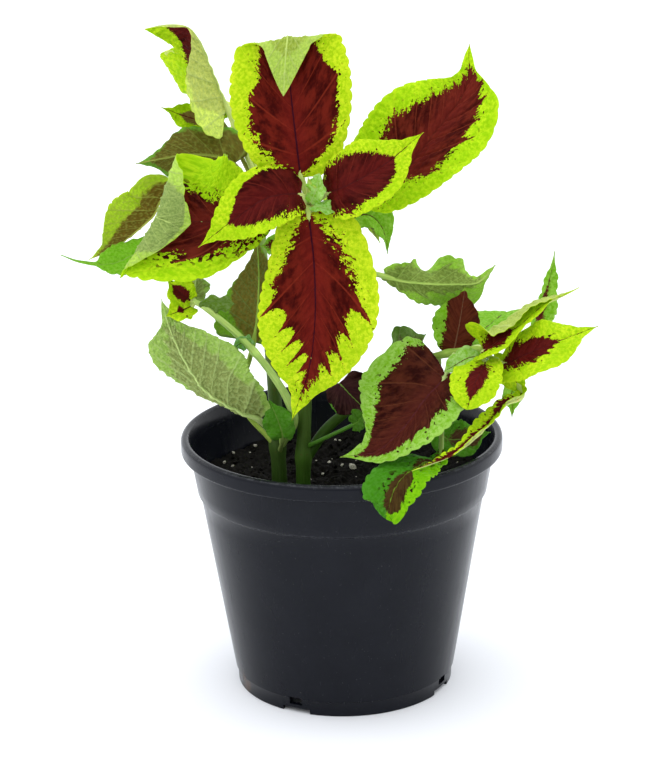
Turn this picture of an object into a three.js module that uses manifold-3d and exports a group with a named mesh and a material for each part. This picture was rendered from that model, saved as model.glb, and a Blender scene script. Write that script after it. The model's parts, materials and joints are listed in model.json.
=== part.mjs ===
// Potted coleus: two leafy stems with a side branch each, in a black nursery pot.
// Millimetres, +Z up. The origin is the centre of the pot's underside.

import * as THREE from 'three';
import ManifoldModule from 'manifold-3d';
import { mergeVertices } from 'three/addons/utils/BufferGeometryUtils.js';

const wasm = await ManifoldModule();
wasm.setup();

// Pot
const rimRadius = 75;
const potHeight = 122;
const wallThickness = 1.3;
const lipHeight = 7.5;
const collarTopRadius = 71;
const collarBottomRadius = 67.8;
const collarBottomZ = 95.3;
const wallTopRadius = 66.4;
const ledgeRadius = 52.1;
const ledgeZ = 7.6;
const footRadius = 50.9;
const floorDiscRadius = 30;
const channelFloorZ = 5;
const potSides = 48;
const drainCount = 4;
const drainWidth = 6.5;
const drainHeight = 4;
const footNotchCount = 4;
const footNotchWidth = 14;
const footNotchHeight = 2.4;
const footNotchTurn = -27;

// Soil
const soilLevel = 101;
const soilRelief = 1.6;
const soilRings = 8;
const soilSides = 36;

// Plant
const gap = 0.3;
const bladeThickness = 0.8;
const toothPitch = 7.6;
const toothDepth = 1.1;
const petiolePitch = 7;
const waveTurns = 15;
const plainLobe = 2;
const plainTail = [0.84, 0.2, 1.1];
const frameSteps = 160;

const colours = {
  pot: 0x1b1d22,
  soil: 0x17120e,
  stem: 0x6f9a35,
  leaf: 0x9fc63a,
};

// Stems: points along the axis, radius at the soil and at the tip, and the tip's leaflets.
// A branch starts on its parent at a fraction of the parent's length.
const stems = {
  rear: {
    points: [[-29, -22, 70], [-29, -20, 105], [-30, -16, 130], [-31, -10, 152], [-34, -3, 190],
      [-36, 5, 222], [-38, 13, 246]],
    radius: [3.9, 2.0],
    nodes: [0.29, 0.62, 0.86],
    leaflets: { length: 10, turn: 80 },
  },
  main: {
    points: [[-18, -25, 70], [-18, -23, 105], [-17, -21, 135], [-15, -25, 170], [-13, -32, 209],
      [-12, -40, 238], [-12, -45, 245]],
    radius: [3.7, 2.1],
    nodes: [0.27, 0.6, 0.82],
    leaflets: { length: 10, turn: 84 },
  },
  left: {
    parent: 'rear',
    from: 0.28,
    points: [[-22, -24, 135], [-24, -29, 147], [-30, -34, 160], [-38, -36, 172], [-48, -36, 183],
      [-60, -37, 194], [-66, -38, 198]],
    radius: [2.3, 1.4],
    nodes: [0.62],
    leaflets: { length: 15, turn: 10 },
  },
  side: {
    parent: 'main',
    from: 0.25,
    points: [[-8, -17, 128], [2, -13, 136], [18, -12, 150], [40, -19, 163], [58, -29, 170],
      [66, -36, 172]],
    radius: [2.6, 1.5],
    nodes: [0.4, 0.8],
  },
};

// Leaves. Each grows from a stem at a fraction of its length, by a stalk that may bend. spine
// runs from the base of the blade to its tip, face is where the upper side looks at the base,
// width is across the blade, and widest is how far along it is widest. Pairs are for the left
// and right half, as seen with the tip pointing away: fold lifts each half about the midrib by
// degrees, curl bends it further towards the margin, flutter makes its margin rise and fall by
// degrees, share scales its width, and foldTip and shareTip are what fold and share become at
// the tip. lobe is how far the base reaches back beside the stalk, lobePower how little of that
// falls near the midrib, and lean slants the cross-sections. tail holds where the narrow tip
// begins, its width there, and how fast the blade tapers before it.
const leaves = [
  {
    name: 'leaf_crown_upper', stem: 'main', at: 0.97, width: 54, columns: 2, widest: 0.42,
    spine: [[-16, -43, 254], [-18, -42, 271], [-20, -39, 292], [-21, -34, 309], [-21, -34, 314],
      [-21, -39, 314], [-22, -45, 304], [-23, -46, 291]],
    face: [0, -1, 0.25], fold: [8, 8], curl: [-8, -8], tail: [0.72, 0.44, 0.35], lean: [0, 0, 0.15],
  },
  {
    name: 'leaf_crown_lower', stem: 'main', at: 0.975, width: 54, columns: 2, widest: [0.4, 0.48],
    spine: [[-13, -50, 240], [-11, -59, 219], [-11, -65, 196], [-14, -67, 174], [-22, -63, 149]],
    face: [0, -0.75, 0.6], fold: [6, 6], curl: [-14, -14], lobe: 9, share: [1.04, 0.93],
  },
  {
    name: 'leaf_crown_left_small', stem: 'main', at: 0.965, width: 29, columns: 2, widest: 0.36,
    spine: [[-16, -49, 248], [-30, -57, 249], [-43, -61, 242], [-61, -60, 228]],
    face: [0, -0.8, 0.6], fold: [14, 14], curl: [-10, -10],
  },
  {
    name: 'leaf_crown_right_small', stem: 'main', at: 0.98, width: 33, columns: 2, widest: 0.38,
    spine: [[-5, -48, 248], [5, -56, 254], [20, -58, 263], [37, -54, 276]],
    face: [0, -0.85, 0.5], fold: [12, 12], curl: [-10, -10],
  },
  {
    name: 'leaf_crown_right_large', stem: 'main', at: 0.93, width: 56, columns: 2, widest: [0.36, 0.58],
    spine: [[14, -36, 240], [27, -38, 252], [42, -36, 271], [56, -32, 290], [58, -28, 309]],
    face: [0.1, -0.85, 0.5], fold: [8, 14], curl: [-8, -8], share: [1.06, 0.86],
    tail: [0.84, 0.16, 0.8],
  },
  {
    name: 'leaf_crown_left_large', stem: 'main', at: 0.93, width: 60, columns: 2, widest: [0.6, 0.56],
    spine: [[-27, -37, 238], [-43, -43, 237], [-58, -47, 236], [-70, -46, 237], [-78, -44, 238],
      [-79, -49, 239], [-72, -56, 238], [-64, -58, 238]],
    face: [-0.1, -0.9, 0.4], fold: [6, 6], foldTip: [-12, -12], curl: [0, 0], share: [0.95, 1.04],
    shareTip: [1.12, 1.2], tail: [0.9, 0.4, 0.4], lean: [0.5, 0, 0],
  },
  {
    name: 'leaf_rear_left', stem: 'rear', at: 0.93, width: 34, columns: 2, widest: [0.27, 0.42],
    spine: [[-47, 8, 249], [-56, 7, 253], [-68, 6, 254], [-80, 7, 252], [-92, 10, 249]],
    face: [0, 0.75, 0.65], fold: [60, -10], curl: [10, -10], share: [0.84, 1.1],
  },
  {
    name: 'leaf_rear_far_left', stem: 'rear', at: 0.87, width: 38, columns: 2, widest: 0.42,
    spine: [[-76, 18, 232], [-86, 13, 223], [-96, 10, 215], [-105, 8, 209], [-115, 7, 205]],
    face: [0.1, 0.95, 0.3], fold: [5, 70], curl: [-8, -8], share: [1.05, 0.3],
  },
  {
    name: 'leaf_rear_upright', stem: 'rear', at: 0.965, width: 42, columns: 2, widest: [0.42, 0.4],
    spine: [[-50, 14, 272], [-56, 10, 290], [-61, 8, 304], [-66, 9, 311], [-75, 12, 312],
      [-86, 14, 310]],
    face: [-0.8, 0.55, -0.2], fold: [82, 15], curl: [0, 0], lobe: 11, share: [1.4, 1.4],
    shareTip: [1.3, -0.6], tail: [0.9, 0.3, 0.5],
  },
  {
    name: 'leaf_rear_small', stem: 'rear', at: 0.95, width: 16, columns: 1, widest: 0.42,
    spine: [[-53, 21, 266], [-65, 21, 267], [-80, 19, 273]],
    face: [0, -0.8, 0.6], fold: [10, 10], curl: [-10, -10],
  },
  {
    name: 'leaf_rear_low', stem: 'rear', at: 0.84, width: 20, columns: 2, widest: 0.3,
    spine: [[-84, 0, 212], [-103, -4, 206], [-117, -8, 208], [-126, -10, 212]],
    face: [0, -0.5, 0.85], fold: [10, 10], curl: [-10, -10], tail: [0.6, 0.14, 1.2],
  },
  {
    name: 'leaf_rear_back', stem: 'rear', at: 0.96, width: 50, columns: 2, widest: 0.4,
    spine: [[-33, 30, 252], [-26, 52, 258], [-18, 74, 256], [-12, 92, 244]],
    face: [0, 0.2, 1], fold: [10, 10], curl: [-10, -10],
  },
  {
    name: 'leaf_rear_back_right', stem: 'rear', at: 0.88, width: 44, columns: 2, widest: 0.4,
    spine: [[-20, 22, 228], [-4, 38, 224], [12, 52, 212], [20, 62, 196]],
    face: [0.3, 0.4, 0.85], fold: [10, 10], curl: [-12, -12],
  },
  {
    name: 'leaf_left_upright', stem: 'rear', at: 0.29, width: 40, columns: 2, widest: [0.2, 0.14],
    stalk: [[-43, -15, 137], [-44, -19, 154], [-41, -23, 166]],
    spine: [[-39, -25, 174], [-37, -24, 188], [-36, -22, 206], [-37, -20, 226]],
    face: [0.2, 0.95, -0.1], fold: [10, 10], curl: [-10, -10], share: [0.75, 1],
    tail: [0.84, 0.2, 1.4],
  },
  {
    name: 'leaf_main_right', stem: 'main', at: 0.82, width: 32, columns: 2, widest: [0.58, 0.5],
    spine: [[20, -20, 203], [28, -19, 200], [40, -17, 198], [53, -15, 197], [63, -12, 197],
      [71, -9, 204]],
    face: [0.1, 0.95, 0.2], fold: [25, 55], curl: [0, 0], share: [0.75, 0.85],
    shareTip: [1.8, 0.85], flutter: [4, 44],
  },
  {
    name: 'leaf_main_small', stem: 'main', at: 0.8, width: 12, columns: 1, widest: 0.5,
    spine: [[-21, -31, 218], [-27, -29, 220], [-35, -26, 219]],
    face: [0, -0.8, 0.6], fold: [10, 10], curl: [0, 0],
  },
  {
    name: 'leaf_main_hooked', stem: 'main', at: 0.88, width: 17, columns: 1, widest: 0.4,
    spine: [[5, -18, 229], [14, -13, 229], [20, -12, 222], [22, -13, 211]],
    face: [0.5, -0.6, 0.6], fold: [20, 20], curl: [0, 0],
  },
  {
    name: 'leaf_main_back', stem: 'main', at: 0.6, width: 42, columns: 2, widest: 0.4,
    spine: [[-10, 0, 172], [-7, 22, 174], [-4, 46, 168], [0, 64, 152]],
    face: [0, 0.2, 1], fold: [10, 10], curl: [-12, -12],
  },
  {
    name: 'leaf_lower_left', stem: 'rear', at: 0.31, width: 46, columns: 2, widest: [0.48, 0.64],
    spine: [[-38, -26, 138], [-47, -32, 144], [-61, -39, 156], [-69, -44, 171], [-75, -46, 186],
      [-79, -42, 200]],
    face: [0.1, 0.97, 0.2], fold: [0, 55], foldTip: [0, 0], curl: [0, 0], share: [1.12, 0.72],
  },
  {
    name: 'leaf_side_heart', stem: 'side', at: 0.84, width: 50, columns: 2, widest: [0.2, 0.25],
    spine: [[46, -44, 162], [37, -51, 154], [27, -58, 143], [15, -62, 134], [-1, -61, 131]],
    face: [-0.2, -0.8, 0.6], fold: [14, 8], curl: [0, -10], lobe: 16, lobePower: 0.6,
    share: [0.82, 1.25], tail: [0.85, 0.16, 0.9],
  },
  {
    name: 'leaf_side_red', stem: 'side', at: 0.8, width: 22, columns: 2, widest: 0.42,
    spine: [[51, -22, 167], [54, -19, 179], [57, -15, 196]],
    face: [0, -1, 0.3], fold: [10, 10], curl: [-8, -8], share: [1.15, 0.85],
  },
  {
    name: 'leaf_side_folded', stem: 'side', at: 0.985, width: 34, columns: 2, widest: [0.3, 0.4],
    spine: [[63, -44, 174], [71, -43, 179], [80, -41, 185], [91, -37, 193], [100, -33, 196],
      [107, -31, 199]],
    face: [0, -0.6, 0.8], fold: [14, 10], curl: [60, -10], lobe: 4, share: [0.7, 0.6],
    shareTip: [1.1, -0.3],
  },
  {
    name: 'leaf_side_right', stem: 'side', at: 0.95, width: 31, columns: 2, widest: 0.4,
    spine: [[72, -43, 168], [81, -48, 173], [93, -51, 179], [114, -48, 186]],
    face: [0, -0.8, 0.6], fold: [10, 10], curl: [-10, -10], share: [0.95, 1],
  },
  {
    name: 'leaf_side_round', stem: 'side', at: 0.9, width: 24, columns: 1, widest: 0.5,
    spine: [[64, -47, 170], [59, -59, 164], [55, -66, 154]],
    face: [0, -0.8, 0.6], fold: [8, 8], curl: [-10, -10], lobe: 6, tail: [0.95, 0.6, 0.1],
  },
  {
    name: 'leaf_side_long', stem: 'side', at: 0.87, width: 10, columns: 2, widest: 0.36,
    spine: [[80, -44, 156], [72, -52, 151], [62, -62, 143], [48, -74, 136], [30, -86, 133]],
    face: [-0.5, -0.6, 0.6], fold: [30, 55], curl: [0, 0],
  },
  {
    name: 'leaf_side_rim', stem: 'side', at: 0.75, width: 32, columns: 2, widest: 0.64,
    spine: [[44, -52, 130], [36, -62, 128], [27, -74, 126], [22, -81, 121], [20, -84, 115],
      [19, -84, 112], [19, -83, 109]],
    face: [-0.2, -0.7, 0.7], fold: [10, 4], foldTip: [20, 0], curl: [-10, 0], share: [1, 1],
    tail: [0.97, 0.9, 0.1],
  },
  {
    name: 'leaf_side_upright', stem: 'side', at: 0.92, width: 16, columns: 1, widest: 0.36,
    spine: [[86, -18, 170], [91, -14, 184], [95, -11, 196], [98, -8, 210]],
    face: [0.8, -0.6, 0], fold: [20, 20], curl: [0, 0],
  },
  {
    name: 'leaf_side_pendent', stem: 'side', at: 0.82, width: 12, columns: 1, widest: 0.4,
    spine: [[76, -31, 158], [77, -33, 150], [77, -36, 140]],
    face: [0.5, -0.7, 0.3], fold: [10, 10], curl: [0, 0],
  },
  {
    name: 'leaf_side_inside', stem: 'side', at: 0.62, width: 20, columns: 1, widest: 0.42,
    spine: [[44, -26, 131], [54, -28, 127], [68, -27, 130]],
    face: [0, -0.5, 0.9], fold: [10, 10], curl: [-10, -10],
  },
  {
    name: 'leaf_side_back', stem: 'side', at: 0.7, width: 40, columns: 2, widest: 0.42,
    spine: [[58, -10, 167], [70, 8, 171], [79, 26, 171], [85, 44, 160]],
    face: [0.1, 0.2, 1], fold: [10, 10], curl: [-12, -12],
  },
  {
    name: 'leaf_middle_behind', stem: 'side', at: 0.42, width: 42, columns: 1, widest: 0.42,
    spine: [[25, -4, 152], [32, 2, 158], [40, 10, 166]],
    face: [0.2, 0.7, 0.5], fold: [10, 10], curl: [0, 0],
  },
  {
    name: 'leaf_middle_shaded', stem: 'side', at: 0.3, width: 26, columns: 1, widest: 0.42,
    spine: [[-1, -20, 152], [5, -24, 147], [13, -28, 140]],
    face: [-0.3, 0.9, -0.3], fold: [10, 10], curl: [0, 0],
  },
];

const radians = THREE.MathUtils.degToRad;
const vector = (point) => new THREE.Vector3(...point);
const mix = THREE.MathUtils.lerp;

// Solids and meshes

function toSolid(geometry) {
  const bare = geometry.clone();
  bare.deleteAttribute('normal');
  bare.deleteAttribute('uv');
  const merged = mergeVertices(bare, 1e-4);
  return new wasm.Manifold(new wasm.Mesh({
    numProp: 3,
    vertProperties: new Float32Array(merged.attributes.position.array),
    triVerts: new Uint32Array(merged.index.array),
  }));
}

function toGeometry(solid) {
  const mesh = solid.getMesh();
  const geometry = new THREE.BufferGeometry();
  geometry.setAttribute('position', new THREE.BufferAttribute(mesh.vertProperties, 3));
  geometry.setIndex(new THREE.BufferAttribute(mesh.triVerts, 1));
  geometry.computeVertexNormals();
  return geometry;
}

function lathe(profile, sides) {
  const outline = profile.map(([radius, z]) => new THREE.Vector2(radius, z));
  const geometry = new THREE.LatheGeometry(outline, sides);
  geometry.rotateX(Math.PI / 2);
  return geometry;
}

// A closed skin over rings of equal length, flat at both ends.
function loft(rings) {
  const positions = rings.flat().flatMap((point) => [point.x, point.y, point.z]);
  const count = rings[0].length;
  const index = [];
  for (let ring = 0; ring < rings.length - 1; ring += 1) {
    for (let corner = 0; corner < count; corner += 1) {
      const next = (corner + 1) % count;
      const a = ring * count + corner;
      const b = ring * count + next;
      index.push(a, b + count, b, a, a + count, b + count);
    }
  }
  const last = (rings.length - 1) * count;
  for (let corner = 1; corner < count - 1; corner += 1) {
    index.push(0, corner, corner + 1);
    index.push(last, last + corner + 1, last + corner);
  }
  const geometry = new THREE.BufferGeometry();
  geometry.setAttribute('position', new THREE.Float32BufferAttribute(positions, 3));
  geometry.setIndex(index);
  return geometry;
}

// Curves with a side and a face direction carried along them

function carriedFrames(points, faceHint, faceFraction) {
  const curve = new THREE.CatmullRomCurve3(points, false, 'catmullrom', 0.5);
  const lengths = curve.getLengths(200);
  const total = lengths[200];
  const startFraction = lengths[Math.round(faceFraction * 200)] / total;
  const frames = [];
  for (let step = 0; step <= frameSteps; step += 1) {
    const fraction = step / frameSteps;
    frames.push({
      point: curve.getPointAt(fraction),
      along: curve.getTangentAt(fraction),
      face: new THREE.Vector3(),
    });
  }
  const carry = (from, to) => {
    const tilt = from.face.dot(to.along);
    to.face.copy(from.face).addScaledVector(to.along, -tilt).normalize();
  };
  const start = Math.round(startFraction * frameSteps);
  carry({ face: faceHint }, frames[start]);
  for (let step = start + 1; step <= frameSteps; step += 1) carry(frames[step - 1], frames[step]);
  for (let step = start - 1; step >= 0; step -= 1) carry(frames[step + 1], frames[step]);
  return { frames, total, startFraction };
}

function frameAt(frames, fraction) {
  const place = Math.min(Math.max(fraction, 0), 1) * frameSteps;
  const low = Math.min(Math.floor(place), frameSteps - 1);
  const share = place - low;
  const point = frames[low].point.clone().lerp(frames[low + 1].point, share);
  const along = frames[low].along.clone().lerp(frames[low + 1].along, share).normalize();
  const face = frames[low].face.clone().lerp(frames[low + 1].face, share);
  face.addScaledVector(along, -face.dot(along)).normalize();
  return { point, along, face, side: along.clone().cross(face) };
}

// Stems: a rounded square section that swells a little at each node

const stemCorners = 8;
const stemSteps = 18;
const nodeSwelling = 0.22;
const nodeReach = 0.025;

function stemRadiusAt(stem, fraction) {
  const plain = mix(stem.radius[0], stem.radius[1], fraction);
  const swelling = stem.nodes.reduce(
    (sum, node) => sum + Math.exp(-(((fraction - node) / nodeReach) ** 2)),
    0,
  );
  return plain * (1 + nodeSwelling * Math.min(swelling, 1));
}

function stemAxis(name) {
  const stem = stems[name];
  const points = stem.points.map(vector);
  if (stem.parent) points.unshift(stemFrame(stem.parent, stem.from).point);
  return carriedFrames(points, new THREE.Vector3(0, -1, 0.02), 0);
}

function stemFrame(name, fraction) {
  if (!stems[name].axis) stems[name].axis = stemAxis(name);
  return frameAt(stems[name].axis.frames, fraction);
}

function stemSolid(name, extra) {
  const stem = stems[name];
  const rings = [];
  for (let step = 0; step <= stemSteps; step += 1) {
    const fraction = step / stemSteps;
    const frame = stemFrame(name, fraction);
    const radius = stemRadiusAt(stem, fraction) + extra;
    const ring = [];
    for (let corner = 0; corner < stemCorners; corner += 1) {
      const angle = (corner / stemCorners) * 2 * Math.PI;
      const reach = corner % 2 === 0 ? radius : radius * 0.93;
      ring.push(frame.point.clone()
        .addScaledVector(frame.side, Math.sin(angle) * reach)
        .addScaledVector(frame.face, -Math.cos(angle) * reach));
    }
    rings.push(ring);
  }
  return toSolid(loft(rings));
}

// Leaves

// The blade's width at a fraction of its length, 1 where it is widest. It has a broad base, and
// a narrow tail from the shoulder on.
function bladeOutline(fraction, widest, [shoulder, tailWidth, taper]) {
  const stretch = Math.log(0.5) / Math.log(widest);
  const body = Math.sin(Math.PI * fraction ** stretch) ** (0.5 + taper * fraction ** 1.5);
  const tail = tailWidth * Math.max(0, (1 - fraction) / (1 - shoulder)) ** 0.85;
  const inTail = THREE.MathUtils.smoothstep(fraction, shoulder - 0.08, shoulder + 0.05);
  return mix(body, Math.min(tail, body), inTail);
}

// Where along a leaf its cross-sections stand: a few on the stalk, then one at the point of each
// tooth and one in the notch behind it.
function leafStations(petioleLength, bladeLength) {
  const baseAt = petioleLength / (petioleLength + bladeLength);
  const petioleSteps = Math.max(2, Math.round(petioleLength / petiolePitch));
  const halfTeeth = 2 * Math.max(3, Math.round(bladeLength / toothPitch));
  const stations = [];
  for (let step = 0; step < petioleSteps; step += 1) {
    stations.push({ fraction: (step / petioleSteps) * baseAt, blade: 0, notched: false });
  }
  for (let step = 0; step <= halfTeeth; step += 1) {
    const blade = step / halfTeeth;
    stations.push({ fraction: mix(baseAt, 1, blade), blade, notched: step % 2 === 0 });
  }
  return stations;
}

// The points across a leaf at one station, from the left margin to the right one.
function leafRow(leaf, frame, blade, notched, petioleRadius) {
  const row = [];
  const tipFold = leaf.foldTip ?? leaf.fold;
  const baseShare = leaf.share ?? [1, 1];
  const tipShare = leaf.shareTip ?? baseShare;
  const flutter = leaf.flutter ?? [0, 0];
  const opening = Math.min(1, blade * 6);
  const lean = vector(leaf.lean ?? [0, 0, 0]).multiplyScalar(Math.min(1, blade * 1.6));
  const sideways = frame.side.clone().add(lean).normalize();
  for (let column = -leaf.columns; column <= leaf.columns; column += 1) {
    const hand = column < 0 ? 0 : 1;
    const across = Math.abs(column) / leaf.columns;
    const share = mix(baseShare[hand], tipShare[hand], blade);
    const swaying = Math.sin(blade * waveTurns + hand * 2);
    const widest = leaf.widest[hand] ?? leaf.widest;
    const outline = blade > 0 ? bladeOutline(blade, widest, leaf.tail ?? plainTail) : 0;
    const notch = notched ? toothDepth * Math.min(1, outline * 3) : 0;
    const half = (outline * leaf.width / 2 - notch) * share;
    const reach = Math.max(half, petioleRadius * (1 - blade * 0.6)) * across;
    const fold = mix(leaf.fold[hand], tipFold[hand], blade);
    const bent = leaf.curl[hand] * across * 0.5 + flutter[hand] * across * swaying;
    const angle = radians((fold + bent) * opening);
    const wave = across ** 2 * Math.min(1, outline * 1.5) * swaying;
    const lobeShare = across ** (leaf.lobePower ?? 2) * Math.max(0, 1 - blade * 4);
    const lobe = (leaf.lobe ?? plainLobe) * lobeShare;
    row.push(frame.point.clone()
      .addScaledVector(frame.along, blade > 0 ? -lobe : 0)
      .addScaledVector(sideways, Math.sign(column) * reach * Math.cos(angle))
      .addScaledVector(frame.face, reach * Math.sin(angle) + wave));
  }
  return row;
}

function leafGeometry(leaf) {
  const root = stemFrame(leaf.stem, leaf.at).point;
  const stalk = (leaf.stalk ?? []).map(vector);
  const points = [root, ...stalk, ...leaf.spine.map(vector)];
  const baseAt = (1 + stalk.length) / (points.length - 1);
  const { frames, total, startFraction } = carriedFrames(points, vector(leaf.face), baseAt);
  const bladeLength = total * (1 - startFraction);
  const petioleRadius = 0.7 + bladeLength * 0.008;
  const stations = leafStations(total * startFraction, bladeLength);
  const rows = stations.map(({ fraction, blade, notched }) => (
    leafRow(leaf, frameAt(frames, fraction), blade, notched, petioleRadius)
  ));

  // The thickness is laid off along the blade's own normal, with the midrib and stalk below.
  const count = 2 * leaf.columns + 1;
  const tops = [];
  const bottoms = [];
  for (let station = 0; station < stations.length; station += 1) {
    const before = rows[Math.max(station - 1, 0)];
    const after = rows[Math.min(station + 1, stations.length - 1)];
    const row = rows[station];
    const { blade } = stations[station];
    const ribDepth = petioleRadius * (1 - blade) ** 0.8;
    const topRow = [];
    const bottomRow = [];
    for (let column = 0; column < count; column += 1) {
      const along = after[column].clone().sub(before[column]);
      const across = row[Math.min(column + 1, count - 1)].clone().sub(row[Math.max(column - 1, 0)]);
      const normal = across.cross(along).normalize();
      const away = Math.abs(column - leaf.columns) / leaf.columns;
      const ribShare = blade > 0 ? Number(away === 0) : 1.1 - away * 0.9;
      const below = bladeThickness / 2 + ribDepth * ribShare;
      topRow.push(row[column].clone().addScaledVector(normal, bladeThickness / 2));
      bottomRow.push(row[column].clone().addScaledVector(normal, -below));
    }
    tops.push(topRow);
    bottoms.push(bottomRow);
  }
  return skin(tops, bottoms);
}

// A closed skin over an upper and a lower grid, split into triangles alike on both.
function skin(tops, bottoms) {
  const count = tops[0].length;
  const stations = tops.length;
  const positions = [...tops.flat(), ...bottoms.flat()].flatMap((p) => [p.x, p.y, p.z]);
  const top = (station, column) => station * count + column;
  const bottom = (station, column) => (stations + station) * count + column;
  const index = [];
  const middle = (count - 1) / 2;
  for (let station = 0; station < stations - 1; station += 1) {
    for (let column = 0; column < count - 1; column += 1) {
      const corners = [[station, column], [station, column + 1], [station + 1, column + 1],
        [station + 1, column]];
      const order = column < middle ? [0, 1, 2, 0, 2, 3] : [1, 2, 3, 1, 3, 0];
      const faces = order.map((corner) => corners[corner]);
      index.push(...faces.map(([s, c]) => top(s, c)));
      index.push(...faces.map(([s, c]) => bottom(s, c)).reverse());
    }
    for (const column of [0, count - 1]) {
      const quad = [top(station, column), top(station + 1, column), bottom(station + 1, column),
        bottom(station, column)];
      if (column > 0) quad.reverse();
      index.push(quad[0], quad[1], quad[2], quad[0], quad[2], quad[3]);
    }
  }
  for (const station of [0, stations - 1]) {
    for (let column = 0; column < count - 1; column += 1) {
      const quad = [top(station, column), bottom(station, column), bottom(station, column + 1),
        top(station, column + 1)];
      if (station > 0) quad.reverse();
      index.push(quad[0], quad[1], quad[2], quad[0], quad[2], quad[3]);
    }
  }
  const geometry = new THREE.BufferGeometry();
  geometry.setAttribute('position', new THREE.Float32BufferAttribute(positions, 3));
  geometry.setIndex(index);
  return geometry;
}

// The youngest pair of leaves, still upright at a shoot's tip
function tipLeaflets(name) {
  const { length, turn } = stems[name].leaflets;
  const tip = stemFrame(name, 1);
  return [0, 180].map((opposite) => {
    const angle = radians(turn + opposite);
    const outward = tip.side.clone().multiplyScalar(Math.cos(angle))
      .addScaledVector(tip.face, Math.sin(angle));
    const place = (rise, reach) => tip.point.clone()
      .addScaledVector(tip.along, rise * length)
      .addScaledVector(outward, reach * length)
      .toArray();
    const leaflet = {
      stem: name, at: 0.985, width: length * 0.55, columns: 1, widest: 0.45,
      spine: [place(0.3, 0.08), place(0.65, 0.25), place(1, 0.6)],
      face: outward.clone().negate().addScaledVector(tip.along, 0.5).toArray(),
      fold: [25, 25], curl: [0, 0],
    };
    return toSolid(leafGeometry(leaflet));
  });
}

// Pot

function potSolid() {
  const inside = wallThickness;
  const lipBottomZ = potHeight - lipHeight;
  const profile = [
    [0, 0], [floorDiscRadius, 0], [floorDiscRadius + 3, channelFloorZ],
    [footRadius - 2.4, channelFloorZ], [footRadius - 1.8, 0], [footRadius, 0],
    [footRadius + 0.3, ledgeZ - 0.6], [ledgeRadius, ledgeZ], [wallTopRadius, collarBottomZ - 1.4],
    [collarBottomRadius, collarBottomZ], [collarTopRadius, lipBottomZ],
    [rimRadius - 0.5, lipBottomZ], [rimRadius, lipBottomZ + 1], [rimRadius, potHeight - 2.4],
    [rimRadius - 0.8, potHeight - 0.7], [rimRadius - 2.2, potHeight],
    [collarTopRadius + 0.2, potHeight - 0.6], [collarTopRadius - inside, lipBottomZ],
    [collarBottomRadius - inside, collarBottomZ + 1.2],
    [wallTopRadius - inside, collarBottomZ - 0.8],
    [ledgeRadius - inside, channelFloorZ + inside + 0.8],
    [ledgeRadius - inside - 1, channelFloorZ + inside],
    [floorDiscRadius + 2.4, channelFloorZ + inside], [floorDiscRadius - 0.6, inside], [0, inside],
  ];
  let solid = toSolid(lathe(profile, potSides));
  const cutters = [];
  const ring = (count, turn, width, height, z) => {
    for (let place = 0; place < count; place += 1) {
      const angle = radians(turn + (360 / count) * place - 90);
      const box = new THREE.BoxGeometry(9, width, height);
      box.translate(footRadius, 0, z);
      box.rotateZ(angle);
      cutters.push(toSolid(box));
    }
  };
  ring(drainCount, footNotchTurn, drainWidth, drainHeight, ledgeZ - drainHeight / 2 + 0.4);
  ring(footNotchCount, footNotchTurn, footNotchWidth, footNotchHeight * 2, 0);
  for (const cutter of cutters) solid = solid.subtract(cutter);
  return solid;
}

// Soil

function soilHeight(radius, angle) {
  const x = radius * Math.cos(angle);
  const y = radius * Math.sin(angle);
  const waves = Math.sin(x * 0.31 + 1.3) * Math.cos(y * 0.27) + 0.6 * Math.sin(x * 0.71 - y * 0.53)
    + 0.4 * Math.cos(x * 1.1 + y * 1.37);
  return soilLevel + soilRelief * waves * 0.6 - 1.5 * (radius / 66) ** 4;
}

function soilSolid(stemCutters) {
  const clear = wallThickness + gap;
  const edgeRadius = wallTopRadius - clear + 1.1;
  const profile = [
    [0, wallThickness + gap], [floorDiscRadius - 1, wallThickness + gap],
    [floorDiscRadius + 2, channelFloorZ + clear], [ledgeRadius - clear - 1.2, channelFloorZ + clear],
    [ledgeRadius - clear - 0.1, channelFloorZ + clear + 1],
    [wallTopRadius - clear - 0.2, collarBottomZ - 1],
  ];
  for (let ring = soilRings; ring >= 0; ring -= 1) {
    profile.push([edgeRadius * (ring / soilRings), soilLevel]);
  }
  const geometry = lathe(profile, soilSides);
  const position = geometry.attributes.position;
  for (let corner = 0; corner < position.count; corner += 1) {
    if (Math.abs(position.getZ(corner) - soilLevel) > 1e-3) continue;
    const x = position.getX(corner);
    const y = position.getY(corner);
    position.setZ(corner, soilHeight(Math.hypot(x, y), Math.atan2(y, x)));
  }
  let solid = toSolid(geometry);
  for (const cutter of stemCutters) solid = solid.subtract(cutter);
  return solid;
}

// Assembly

const plant = new THREE.Group();

function addPiece(name, solid, colour, roughness) {
  const material = new THREE.MeshStandardMaterial({ color: colour, roughness, metalness: 0 });
  const mesh = new THREE.Mesh(toGeometry(solid), material);
  mesh.name = name;
  plant.add(mesh);
}

const stemHoles = ['rear', 'main'].map((name) => stemSolid(name, gap));
addPiece('pot', potSolid(), colours.pot, 0.35);
addPiece('soil', soilSolid(stemHoles), colours.soil, 0.95);

const shoot = (name) => [stemSolid(name, 0), ...(stems[name].leaflets ? tipLeaflets(name) : [])];
const joined = (solids) => solids.reduce((whole, solid) => whole.add(solid));
const rearStem = joined([...shoot('rear'), ...shoot('left')]);
const mainStem = joined([...shoot('main'), ...shoot('side')]);
addPiece('stem_rear', rearStem, colours.stem, 0.5);
addPiece('stem_main', mainStem, colours.stem, 0.5);

const stemClearance = {};
for (const name of Object.keys(stems)) stemClearance[name] = stemSolid(name, gap);

for (const leaf of leaves) {
  const solid = toSolid(leafGeometry(leaf)).subtract(stemClearance[leaf.stem]);
  addPiece(leaf.name, solid, colours.leaf, 0.45);
}

export default plant;
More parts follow.
